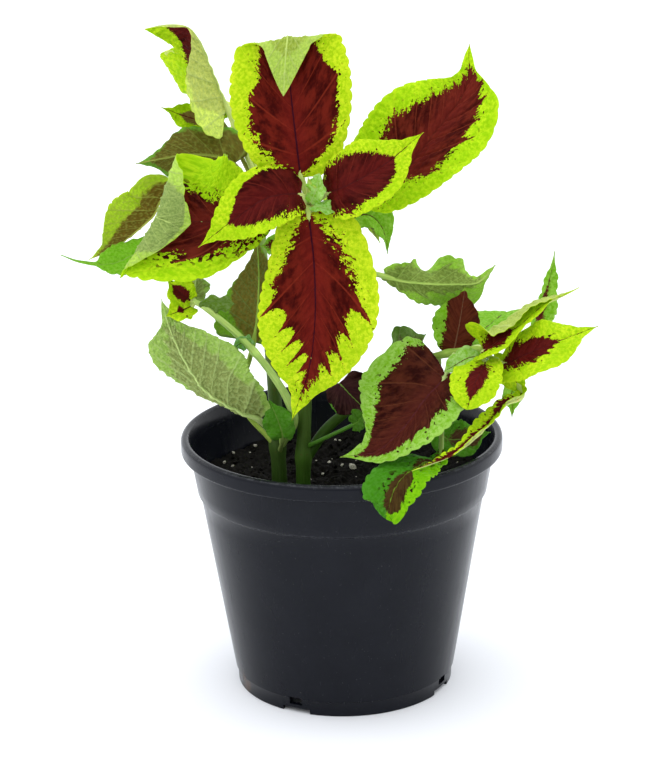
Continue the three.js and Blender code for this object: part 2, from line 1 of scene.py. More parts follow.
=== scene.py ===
"""Potted coleus: fine leaves, stems, soil and pot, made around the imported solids.

Shapes are worked out in millimetres, in the part's own frame, and turned into metres where a
mesh is made.
"""

import json
import math

import bmesh
import bpy
import numpy as np
from mathutils import Matrix, Vector, noise

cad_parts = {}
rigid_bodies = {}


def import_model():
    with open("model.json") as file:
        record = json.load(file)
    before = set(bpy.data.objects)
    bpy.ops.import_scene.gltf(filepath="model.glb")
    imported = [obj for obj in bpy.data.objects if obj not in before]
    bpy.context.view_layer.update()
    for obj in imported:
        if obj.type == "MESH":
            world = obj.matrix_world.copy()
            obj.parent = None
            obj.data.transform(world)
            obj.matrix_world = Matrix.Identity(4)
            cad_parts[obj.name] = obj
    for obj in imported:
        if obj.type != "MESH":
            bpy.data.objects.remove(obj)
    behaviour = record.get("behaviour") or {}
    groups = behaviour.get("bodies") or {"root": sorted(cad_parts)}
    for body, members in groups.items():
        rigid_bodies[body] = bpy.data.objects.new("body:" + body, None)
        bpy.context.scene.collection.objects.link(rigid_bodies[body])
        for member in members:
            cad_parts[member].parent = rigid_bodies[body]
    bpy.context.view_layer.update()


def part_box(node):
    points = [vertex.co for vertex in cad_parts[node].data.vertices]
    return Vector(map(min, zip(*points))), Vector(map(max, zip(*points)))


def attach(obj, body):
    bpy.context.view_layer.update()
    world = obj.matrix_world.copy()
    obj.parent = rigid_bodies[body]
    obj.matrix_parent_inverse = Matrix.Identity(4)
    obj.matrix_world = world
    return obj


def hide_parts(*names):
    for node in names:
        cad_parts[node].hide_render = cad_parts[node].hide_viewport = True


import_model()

MM = 0.001

# Blade: grid spacing, thickness, teeth and the stalk beneath it
ROW_PITCH = 0.62
COLUMN_PITCH = 0.72
FEWEST_ROWS = 24
FEWEST_COLUMNS = 9
COLUMN_CROWDING = 1.15
BLADE_HALF_THICKNESS = 0.2
TOOTH_PITCH = 5.0
TOOTH_DEPTH = 1.15
WAVE_TURNS = 15
STALK_SIDES = 12
STALK_RING_PITCH = 1.1
MIDRIB_RING_PITCH = 1.6
MIDRIB_END = 0.97
STALK_GROOVE = 0.16
STALK_SWELLING = 0.35
SWELLING_PLACE = 2.5
SWELLING_REACH = 3.0
FRAME_STEPS = 400

# Numbers that make each leaf's pattern its own, and the depth that stands for no red
OWN_NUMBER_STEP = 9.7
FIRST_SHOOT_SEED = 40
LEAFLET_SEED = 50
NO_RED_DEPTH = -30.0

# Quilting: pillows between the side veins, cells between the small veins, the groove along the
# midrib, the ripple of the margin, and veins that stand out below
PILLOW_HEIGHT = 0.55
CELL_HEIGHT = 0.45
CELL_SIZE = 3.4
GROOVE_DEPTH = 0.35
GROOVE_REACH = 1.1
RIPPLE_HEIGHT = 0.28
VEIN_PAIRS = 9
SIDE_VEIN_REACH = 0.6
SIDE_VEIN_HEIGHT = 0.22
SMALL_VEIN_HEIGHT = 0.07

# Stems
STEM_SIDES = 32
STEM_RING_PITCH = 0.8
TIP_ROUNDING = 1.5
NODE_SWELLING = 0.22
NODE_REACH = 0.025
NODE_LIGHTENING = 0.3
NODE_LIGHT_REACH = 0.02
TONE_RISE = 2.2
FIBRE_SPREAD = 6
STEM_NUMBER_STEP = 13.1

# Pot. Its solid gives the radius of the rim and the height
_, pot_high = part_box("pot")
RIM_RADIUS = pot_high.x / MM
POT_HEIGHT = pot_high.z / MM
WALL_THICKNESS = 1.3
LIP_HEIGHT = 7.5
LIP_ROUNDING = 1.1
RIM_ROUNDING = 2.1
COLLAR_TOP_RADIUS = RIM_RADIUS - 4
COLLAR_BOTTOM_RADIUS = 67.8
COLLAR_BOTTOM_Z = 95.3
WALL_TOP_RADIUS = 66.4
LEDGE_RADIUS = 52.1
LEDGE_Z = 7.6
FOOT_RADIUS = 50.9
FLOOR_DISC_RADIUS = 30
CHANNEL_FLOOR_Z = 5
POT_SIDES = 224
DRAIN_COUNT = 4
DRAIN_WIDTH = 6.5
DRAIN_HEIGHT = 4
DRAIN_RISE = 0.4
NOTCH_COUNT = 4
NOTCH_WIDTH = 14
NOTCH_HEIGHT = 2.4
NOTCH_TURN = -27
CUTTER_LENGTH = 9
SHARP_ANGLE = 38
# Depth below the top of the rim of its pale band of wear and painted highlight
RIM_WEAR_AND_GLINT_DEPTH = 0.5
DIRT_PLACE = (-47.5, -21.0, 5.0)
DIRT_REACH = 7.0

# Soil, and the grains and crumbs on it. The grains that can be seen have places of their own
SOIL_LEVEL = 101
SOIL_RELIEF = 1.6
SOIL_RINGS = 90
SOIL_SIDES = 300
SOIL_GAP = 0.3
SEEN_PERLITE = [(-12, 21), (-9, 3), (5, 6), (-6, 15), (0, 13), (-3, 50), (-15, -4), (-52, 17),
                (-56, 22), (-52, 32), (-42, 44)]
SEEN_PERLITE_SIZES = [1.9, 1.6, 3.2, 1.7, 1.6, 1.8, 1.4, 1.6, 1.5, 1.3, 1.7]
PERLITE = dict(count=40, reach=61, sizes=(0.4, 1.2), stretch=0.4, detail=2, sink=0.3, seed=3)
CRUMBS = dict(count=420, reach=62.5, sizes=(0.8, 2.8), stretch=1.6, detail=1, sink=0.35, seed=4)
LAYING_SEED = 11
CLEAR_OF_STEMS = 6
DENT_DEPTH = 0.45

# Light and floor
DARK_SIDE = 0.25
BRIGHT_SIDE = 1.4
KEY_STRENGTH = 1.7
FILL_STRENGTH = 0.5
SUN_SPREAD = 110
FLOOR_REACH = 40.0

# Camera
FOCAL_PIXELS = 2656
LONG_SIDE_PIXELS = 768
SENSOR = 36
CAMERA_PLACE = (-2.27, -1171.7, 526.4)
CAMERA_PITCH = 18.015
CAMERA_ROLL = -0.872


# Numbers and vectors


def smooth(low, high, value):
    """0 up to low, 1 from high on, and a soft step between them."""
    share = np.clip((value - low) / (high - low), 0, 1)
    return share * share * (3 - 2 * share)


def mix(a, b, share):
    return a + (b - a) * share


def bell(value, reach):
    """1 at 0, falling softly to nothing on either side."""
    return np.exp(-((value / reach) ** 2))


def unit(vectors):
    """The vectors scaled to a length of 1."""
    return vectors / np.maximum(np.linalg.norm(vectors, axis=-1, keepdims=True), 1e-12)


def scatter(x, y, seed):
    """A repeatable number from 0 to 1 for each pair of whole numbers."""
    value = np.sin(x * 127.1 + y * 311.7 + seed * 74.7) * 43758.5453
    return value - np.floor(value)


def cell_borders(x, y, size, seed):
    """0 on the borders of irregular cells, and about 1 in the middle of each."""
    column, row = np.floor(x / size), np.floor(y / size)
    nearest = np.full(x.shape, np.inf)
    second = np.full(x.shape, np.inf)
    for i in (-1, 0, 1):
        for j in (-1, 0, 1):
            centre_x = (column + i + 0.1 + 0.8 * scatter(column + i, row + j, seed)) * size
            centre_y = (row + j + 0.1 + 0.8 * scatter(column + i, row + j, seed + 5)) * size
            away = np.hypot(x - centre_x, y - centre_y)
            second = np.minimum(second, np.maximum(nearest, away))
            nearest = np.minimum(nearest, away)
    return (second - nearest) / size


def catmull_rom(points, places):
    """Points on a curve through the given ones, at places from 0 to 1."""
    points = np.asarray(points, float)
    last = len(points) - 1
    before = 2 * points[0] - points[1]
    after = 2 * points[-1] - points[-2]
    knots = np.vstack([before, points, after])
    place = np.clip(places, 0, 1) * last
    span = np.minimum(np.floor(place).astype(int), last - 1)
    share = (place - span)[:, None]
    a, b, c, d = (knots[span + step] for step in range(4))
    leaving, arriving = (c - a) / 2, (d - b) / 2
    return (
        b
        + leaving * share
        + (3 * (c - b) - 2 * leaving - arriving) * share**2
        + (2 * (b - c) + leaving + arriving) * share**3
    )


class Line:
    """A smooth curve with a face direction carried along it from one of its points."""

    def __init__(self, points, face_hint, start_place):
        fine = np.linspace(0, 1, 2001)
        path = catmull_rom(points, fine)
        lengths = np.concatenate([[0], np.cumsum(np.linalg.norm(np.diff(path, axis=0), axis=1))])
        self.total = lengths[-1]
        self.start = np.interp(start_place, fine, lengths) / self.total
        even = np.interp(np.linspace(0, self.total, FRAME_STEPS + 1), lengths, fine)
        self.points = catmull_rom(points, even)
        self.along = unit(np.gradient(self.points, axis=0))
        self.face = np.zeros_like(self.points)
        first = round(self.start * FRAME_STEPS)
        self._carry(np.asarray(face_hint, float), first)
        for step in range(first + 1, FRAME_STEPS + 1):
            self._carry(self.face[step - 1], step)
        for step in range(first - 1, -1, -1):
            self._carry(self.face[step + 1], step)

    def _carry(self, face, step):
        along = self.along[step]
        self.face[step] = unit(face - along * (face @ along))

    def at(self, fractions):
        """The point, direction, face and side at fractions of the length."""
        places = np.atleast_1d(np.clip(fractions, 0, 1)) * FRAME_STEPS
        steps = np.arange(FRAME_STEPS + 1)

        def between(values):
            return np.stack([np.interp(places, steps, values[:, k]) for k in range(3)], axis=1)

        along = unit(between(self.along))
        face = between(self.face)
        face = unit(face - along * (face * along).sum(1, keepdims=True))
        return between(self.points), along, face, np.cross(along, face)


# Meshes


def add_object(name, data):
    """A new object in the scene."""
    made = bpy.data.objects.new(name, data)
    bpy.context.scene.collection.objects.link(made)
    return made


def make_piece(name, points, faces, materials, nodes, face_materials=None, smooth_faces=True):
    """A mesh object from points in millimetres, which rides on the part and replaces nodes."""
    mesh = bpy.data.meshes.new(name)
    mesh.from_pydata((np.asarray(points) * MM).tolist(), [], faces)
    mesh.update()
    for material in materials:
        mesh.materials.append(material)
    if face_materials is not None:
        mesh.polygons.foreach_set("material_index", np.asarray(face_materials, np.int32))
    mesh.polygons.foreach_set("use_smooth", [smooth_faces] * len(mesh.polygons))
    piece = add_object(name, mesh)
    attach(piece, "root")
    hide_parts(*nodes)
    return piece


def set_vectors(piece, name, values):
    """Gives a vector to each point of a piece, for its material to read by name."""
    layer = piece.data.attributes.new(name, "FLOAT_VECTOR", "POINT")
    layer.data.foreach_set("vector", np.asarray(values, np.float32).ravel())


def grid_faces(rows, columns, first=0, flip=False, closed=False):
    """Quads of a grid of points, in order of rows. A closed grid joins its last column to its first."""
    row, column = np.meshgrid(
        np.arange(rows - 1), np.arange(columns if closed else columns - 1), indexing="ij"
    )
    row, column = row.ravel(), column.ravel()
    beside = (column + 1) % columns
    here, above = row * columns, (row + 1) * columns
    quads = np.stack([here + column, here + beside, above + beside, above + column], axis=1)
    return (quads[:, ::-1] if flip else quads) + first


def tube(line_points, side, face, radius, sides, section):
    """Rings of points along a path. section gives what the radius is scaled by at an angle."""
    angles = np.arange(sides) * 2 * np.pi / sides
    across = np.sin(angles) * section(angles)
    up = np.cos(angles) * section(angles)
    return (
        line_points[:, None]
        + side[:, None] * (across[None, :, None] * radius[:, None, None])
        + face[:, None] * (up[None, :, None] * radius[:, None, None])
    )


def tube_faces(rings, sides, first):
    """Faces around a tube's rings, with a cap at each end."""
    faces = grid_faces(rings, sides, first, closed=True).tolist()
    faces.append(list(range(first + sides - 1, first - 1, -1)))
    last = first + (rings - 1) * sides
    faces.append(list(range(last, last + sides)))
    return faces


# Materials


class Nodes:
    """Builds the nodes of a material or a world. Each method adds a node, from sockets or plain
    values, and gives what comes out of it."""

    def __init__(self, owner):
        owner.use_nodes = True
        self.owner = owner
        self.tree = owner.node_tree

    def add(self, kind, inputs, **settings):
        node = self.tree.nodes.new(f"ShaderNode{kind}")
        for name, value in settings.items():
            setattr(node, name, value)
        for name, value in inputs.items():
            if isinstance(value, bpy.types.NodeSocket):
                self.tree.links.new(value, node.inputs[name])
            else:
                node.inputs[name].default_value = value
        return node.outputs

    def read(self, name):
        return self.add("Attribute", {}, attribute_name=name)["Vector"]

    def split(self, vector):
        return tuple(self.add("SeparateXYZ", {0: vector}))

    def math(self, operation, *values):
        return self.add("Math", dict(enumerate(values)), operation=operation)[0]

    def times(self, a, b):
        return self.math("MULTIPLY", a, b)

    def distance_from(self, value, middle):
        return self.math("ABSOLUTE", self.math("SUBTRACT", value, middle))

    def swing(self, value, reach):
        """A noise value turned into a distance either side of 0."""
        return self.times(self.math("SUBTRACT", value, 0.5), reach)

    def tint(self, colour, factors):
        return self.add("VectorMath", {0: colour, 1: factors}, operation="MULTIPLY")[0]

    def noise(self, place, scale, detail=2.0, roughness=0.5):
        """scale is a number, or one for each direction."""
        if isinstance(scale, tuple):
            place, scale = self.tint(place, scale), 1.0
        inputs = {"Vector": place, "Scale": scale, "Detail": detail, "Roughness": roughness}
        return self.add("TexNoise", inputs)["Fac"]

    def ramp(self, value, low, high, out_low=0.0, out_high=1.0):
        inputs = {"Value": value, 1: low, 2: high, 3: out_low, 4: out_high}
        return self.add("MapRange", inputs, interpolation_type="SMOOTHSTEP")[0]

    def blend(self, share, a, b):
        return self.add("Mix", {0: share, 6: a, 7: b}, data_type="RGBA", clamp_factor=True)[2]

    def relief(self, *layers):
        """Bumps upon bumps, each a height, its strength and its distance in millimetres."""
        below = {}
        for height, strength, distance in layers:
            inputs = {"Height": height, "Strength": strength, "Distance": distance * MM}
            below = {"Normal": self.add("Bump", inputs | below)["Normal"]}
        return below["Normal"]

    def surface(self, colour, roughness, gloss, relief=None, through=0.0):
        """Finishes the material and gives it. through is the share of light that it lets through."""
        inputs = {"Base Color": colour, "Roughness": roughness, "Specular IOR Level": gloss}
        if relief is not None:
            inputs["Normal"] = relief
        shader = self.add("BsdfPrincipled", inputs)[0]
        if through:
            behind = self.add("BsdfTranslucent", {"Color": colour})[0]
            shader = self.add("MixShader", {0: through, 1: shader, 2: behind})[0]
        self.add("OutputMaterial", {"Surface": shader})
        return self.owner


def new_material(name):
    """The nodes of a new material, with none in it yet."""
    nodes = Nodes(bpy.data.materials.new(name))
    nodes.tree.nodes.clear()
    return nodes


# Leaf materials. The blade carries these values on its points:
#   flat      place on the blade laid flat, in millimetres, and the leaf's own number
#   veins     side vein that the place lies on, counted from the base, the distance along it in
#             millimetres, and the leaf's own number
#   marks     distance into the red centre in millimetres, how thickly dots lie outside it, and
#             nearness to a small vein
#   edges     how far the centre's edge frays, half the width of the midrib's line, both in
#             millimetres, and nearness to the margin
#   and the colours of margin, centre and midrib on either side.
LEAF_THROUGH = 0.2


def vein_lines(nodes, veins, low, high):
    """1 on the side veins, and 0 away from them."""
    counted = nodes.split(veins)[0]
    away = nodes.distance_from(counted, nodes.math("ROUND", counted))
    return nodes.ramp(away, low, high, 1.0, 0.0)


def midrib_line(nodes, from_midrib, half_width):
    """1 on the midrib, and 0 away from it."""
    return nodes.ramp(nodes.math("DIVIDE", from_midrib, half_width), 0.55, 1.15, 1.0, 0.0)


def leaf_upper():
    """The upper side: lime at the margin, and maroon in the middle and in dots around it."""
    nodes = new_material("leaf_upper")
    flat, veins = nodes.read("flat"), nodes.read("veins")
    inside, dots, small_vein = nodes.split(nodes.read("marks"))
    fray, midrib_width, rim = nodes.split(nodes.read("edges"))
    from_midrib = nodes.math("ABSOLUTE", nodes.split(flat)[0])
    side_vein = vein_lines(nodes, veins, 0.012, 0.05)
    midrib = midrib_line(nodes, from_midrib, midrib_width)

    streaks = nodes.noise(veins, (10.0, 0.34, 1.0), 3.0, 0.66)
    grains = nodes.noise(flat, 1.05, 2.0, 0.6)
    shift = nodes.math("ADD", nodes.swing(streaks, 13.0), nodes.swing(grains, 7.0))
    red = nodes.ramp(nodes.math("MULTIPLY_ADD", shift, fray, inside), -0.12, 0.12)
    threshold = nodes.math("MULTIPLY_ADD", dots, -0.2, 0.78)
    spot = nodes.math("SUBTRACT", nodes.noise(flat, 0.62, 0.0), threshold)
    spots = nodes.times(nodes.ramp(spot, 0.0, 0.02), nodes.ramp(inside, -6.5, -1.5))
    spots = nodes.times(spots, nodes.math("SUBTRACT", 1.0, red))

    mottle = nodes.noise(flat, 0.75, 3.0, 0.6)
    patches = nodes.noise(flat, 0.09)
    margin = nodes.read("margin")
    lighter = nodes.tint(margin, (1.25, 1.12, 3.5))
    darker = nodes.tint(margin, (0.68, 0.84, 0.5))
    lime = nodes.blend(nodes.ramp(mottle, 0.34, 0.66), darker, lighter)
    lime = nodes.blend(nodes.ramp(patches, 0.35, 0.7, 0.0, 0.45), lime, darker)
    lime = nodes.blend(nodes.times(side_vein, 0.4), lime, lighter)
    lime = nodes.blend(nodes.times(rim, 0.5), lime, lighter)

    centre = nodes.read("centre")
    bright = nodes.tint(centre, (1.8, 3.2, 3.0))
    deep = nodes.tint(centre, (0.5, 0.4, 0.5))
    vein_red = nodes.tint(centre, (2.6, 6.0, 5.0))
    midrib_red = nodes.tint(centre, (2.1, 3.0, 4.0))
    cloud = nodes.noise(veins, (2.6, 0.14, 1.0), 3.0, 0.6)
    maroon = nodes.blend(nodes.ramp(cloud, 0.35, 0.66), deep, bright)
    maroon = nodes.blend(nodes.times(side_vein, 0.75), maroon, vein_red)
    maroon = nodes.blend(nodes.times(small_vein, 0.3), maroon, bright)
    maroon = nodes.blend(nodes.ramp(from_midrib, 1.0, 9.0, 0.55, 0.0), maroon, midrib_red)

    colour = nodes.blend(red, lime, maroon)
    colour = nodes.blend(spots, colour, deep)
    colour = nodes.blend(midrib, colour, nodes.read("midrib"))
    fine = nodes.noise(flat, 2.4, 2.0, 0.6)
    relief = nodes.relief((side_vein, 0.5, -0.2), (small_vein, 0.35, -0.12), (fine, 0.5, 0.09))
    return nodes.surface(colour, nodes.ramp(mottle, 0.2, 0.8, 0.4, 0.55), 0.04, relief, LEAF_THROUGH)


def leaf_underside():
    """The underside: paler and duller, with the red showing through as a stain."""
    nodes = new_material("leaf_underside")
    flat, veins = nodes.read("flat"), nodes.read("veins")
    inside, _, small_vein = nodes.split(nodes.read("marks"))
    _, midrib_width, rim = nodes.split(nodes.read("edges"))
    side_vein = vein_lines(nodes, veins, 0.014, 0.055)
    midrib = midrib_line(nodes, nodes.math("ABSOLUTE", nodes.split(flat)[0]), midrib_width)
    wide = nodes.noise(flat, 0.35, 3.0, 0.65)
    stain = nodes.ramp(nodes.math("ADD", nodes.swing(wide, 6.0), inside), -1.1, 0.9)

    mottle = nodes.noise(flat, 0.9, 3.0, 0.6)
    margin, pale = nodes.read("under_margin"), nodes.read("under_vein")
    plain = nodes.blend(stain, margin, nodes.read("under_centre"))
    darker = nodes.tint(plain, (0.74, 0.8, 0.7))
    lighter = nodes.tint(plain, (1.14, 1.1, 1.15))
    colour = nodes.blend(nodes.ramp(mottle, 0.32, 0.68), darker, lighter)
    for line, share in ((small_vein, 0.5), (side_vein, 0.6), (midrib, 0.9)):
        colour = nodes.blend(nodes.times(line, share), colour, pale)
    colour = nodes.blend(nodes.times(rim, 0.4), colour, margin)
    fine = nodes.noise(flat, 2.2, 2.0, 0.6)
    relief = nodes.relief((side_vein, 0.6, 0.3), (small_vein, 0.5, 0.16), (fine, 0.4, 0.08))
    return nodes.surface(colour, 0.66, 0.15, relief, LEAF_THROUGH)


def stalk_green():
    """Stalks, midribs and stems: smooth, with pale lengthwise fibres and a tone of their own."""
    nodes = new_material("stalk_green")
    flat, tone = nodes.read("flat"), nodes.read("tone")
    fibres = nodes.noise(flat, (1.5, 0.06, 1.0), 3.0, 0.55)
    clouds = nodes.noise(flat, 0.12)
    specks = nodes.ramp(nodes.noise(flat, 0.8, 0.0), 0.76, 0.8, 0.0, 0.6)
    darker = nodes.tint(tone, (0.8, 0.86, 0.75))
    lighter = nodes.tint(tone, (1.25, 1.14, 1.3))
    shade = nodes.tint(tone, (0.7, 0.75, 0.6))
    colour = nodes.blend(nodes.ramp(fibres, 0.3, 0.7), darker, lighter)
    colour = nodes.blend(nodes.ramp(clouds, 0.4, 0.75, 0.0, 0.5), colour, shade)
    colour = nodes.blend(specks, colour, nodes.tint(tone, (1.3, 0.7, 0.8)))
    rough = nodes.ramp(fibres, 0.2, 0.8, 0.36, 0.52)
    return nodes.surface(colour, rough, 0.1, nodes.relief((fibres, 0.3, 0.1)))


# Leaf colours, as light reflected, by age, and darker ones with painted shade for leaves that lie in
# the plant's shade. Each gives margin, centre and midrib seen from above, then margin, centre and
# veins seen from below.
PALETTES = {
    "crown": dict(
        margin=(0.54, 0.74, 0.006), centre=(0.088, 0.004, 0.002), midrib=(0.045, 0.004, 0.012),
        under_margin=(0.46, 0.65, 0.09), under_centre=(0.34, 0.46, 0.05), under_vein=(0.5, 0.64, 0.16),
    ),
    "young": dict(
        margin=(0.5, 0.74, 0.005), centre=(0.062, 0.0032, 0.0022), midrib=(0.09, 0.01, 0.01),
        under_margin=(0.5, 0.62, 0.12), under_centre=(0.38, 0.42, 0.12), under_vein=(0.55, 0.66, 0.2),
    ),
    "bright": dict(
        margin=(0.46, 0.74, 0.004), centre=(0.088, 0.006, 0.003), midrib=(0.13, 0.016, 0.01),
        under_margin=(0.5, 0.72, 0.03), under_centre=(0.15, 0.11, 0.014), under_vein=(0.27, 0.3, 0.06),
    ),
    "mature": dict(
        margin=(0.25, 0.52, 0.018), centre=(0.062, 0.008, 0.003), midrib=(0.1, 0.02, 0.022),
        under_margin=(0.36, 0.56, 0.1), under_centre=(0.3, 0.37, 0.1), under_vein=(0.5, 0.66, 0.22),
    ),
    # Painted shade: darker colours for leaves that lie in the shade of others
    "shaded": dict(
        margin=(0.1, 0.3, 0.012), centre=(0.06, 0.02, 0.008), midrib=(0.2, 0.34, 0.06),
        under_margin=(0.13, 0.25, 0.03), under_centre=(0.11, 0.12, 0.025), under_vein=(0.2, 0.3, 0.07),
    ),
}

# Stems: points along the axis, radius at the soil and at the tip, nodes, colours at the soil and at
# the tip, and for a tip with leaflets their length and turn about the stem. The colour at the soil
# is darker partly as painted shade. A branch starts on its parent, at a share of its length
STEMS = {
    "rear": dict(
        points=[(-29, -22, 70), (-29, -20, 105), (-30, -16, 130), (-31, -10, 152), (-34, -3, 190),
                (-36, 5, 222), (-38, 13, 246)],
        radius=(3.9, 2.0), nodes=(0.29, 0.62, 0.86), leaflets=(10, 80),
        tones=((0.012, 0.04, 0.003), (0.42, 0.62, 0.16)),
    ),
    "main": dict(
        points=[(-18, -25, 70), (-18, -23, 105), (-17, -21, 135), (-15, -25, 170), (-13, -32, 209),
                (-12, -40, 238), (-12, -45, 245)],
        radius=(3.7, 2.1), nodes=(0.27, 0.6, 0.82),
        tones=((0.014, 0.055, 0.002), (0.46, 0.66, 0.16)),
    ),
    "left": dict(
        parent="rear", start=0.28,
        points=[(-22, -24, 135), (-24, -29, 147), (-30, -34, 160), (-38, -36, 172), (-48, -36, 183),
                (-60, -37, 194), (-66, -38, 198)],
        radius=(2.3, 1.4), nodes=(0.62,),
        tones=((0.36, 0.55, 0.13), (0.62, 0.82, 0.24)),
    ),
    "side": dict(
        parent="main", start=0.25,
        points=[(-8, -17, 128), (2, -13, 136), (18, -12, 150), (40, -19, 163), (58, -29, 170),
                (66, -36, 172)],
        radius=(2.6, 1.5), nodes=(0.4, 0.8),
        tones=((0.025, 0.07, 0.006), (0.4, 0.6, 0.1)),
    ),
}
STEM_GROUPS = {"rear": ("rear", "left"), "main": ("main", "side")}

# Leaves, by name. A pair is for the left and right half, as seen with the tip pointing away, and a
# single number in its place is for both.
#   stem, at        where the stalk starts: the stem, and the place as a share of its length
#   width, widest   full width, and where along the blade it is reached, as a share
#   stalk, spine    points that the stalk passes through, and points from the blade's base to its tip
#   face            where the upper side looks at the base
#   fold, curl      degrees that a half is lifted about the midrib, and further at its margin
#   share           what a half's width is scaled by
#   fold_tip, share_tip   what fold and share become at the tip
#   tail            where the narrow tip starts, its width, and how fast the blade tapers to it
#   lobe, lobe_power   how far the margin reaches back past the base, and how suddenly
#   lean            leans the blade's sideways direction, most towards the tip
#   flutter         degrees by which the margin rises and falls
#   quilt           scales the quilting
#   hem             turns the outer part of a half over: where it starts, and the degrees
#   red             the red centre: places along the blade, and its width there as a share of the
#                   blade's. Without it the leaf has no red
#   step, fray      how far the red runs out along the side veins, in millimetres, and how ragged
#                   its edge is
#   steps_from      the part of the blade where the red runs out along the side veins
#   dots            how many red dots lie outside the centre
#   colours, first_colours, stalk_tone   colours in place of the palette's, those of the left half
#                   alone, and the stalk's

# What a leaf has where it says nothing, and the usual red centre
PLAIN_LEAF = dict(
    at=0.985, widest=0.42, palette="mature", stalk=(), face=(0, -0.8, 0.6), fold=10, curl=0, share=1,
    tail=(0.84, 0.2, 1.1), lobe=2, lobe_power=2, lean=(0, 0, 0), flutter=0, quilt=1, hem=(None, None),
    red=None, step=1, fray=0.3, steps_from=(0.2, 0.8), dots=0, colours={}, first_colours={},
)
PAIRS = ("widest", "fold", "fold_tip", "curl", "share", "share_tip", "flutter", "fray")
PLAIN_RED = dict(
    red=[(0, 0.1), (0.12, 0.5), (0.3, 0.66), (0.55, 0.6), (0.72, 0.3), (0.86, 0)], step=4, fray=0.6
)

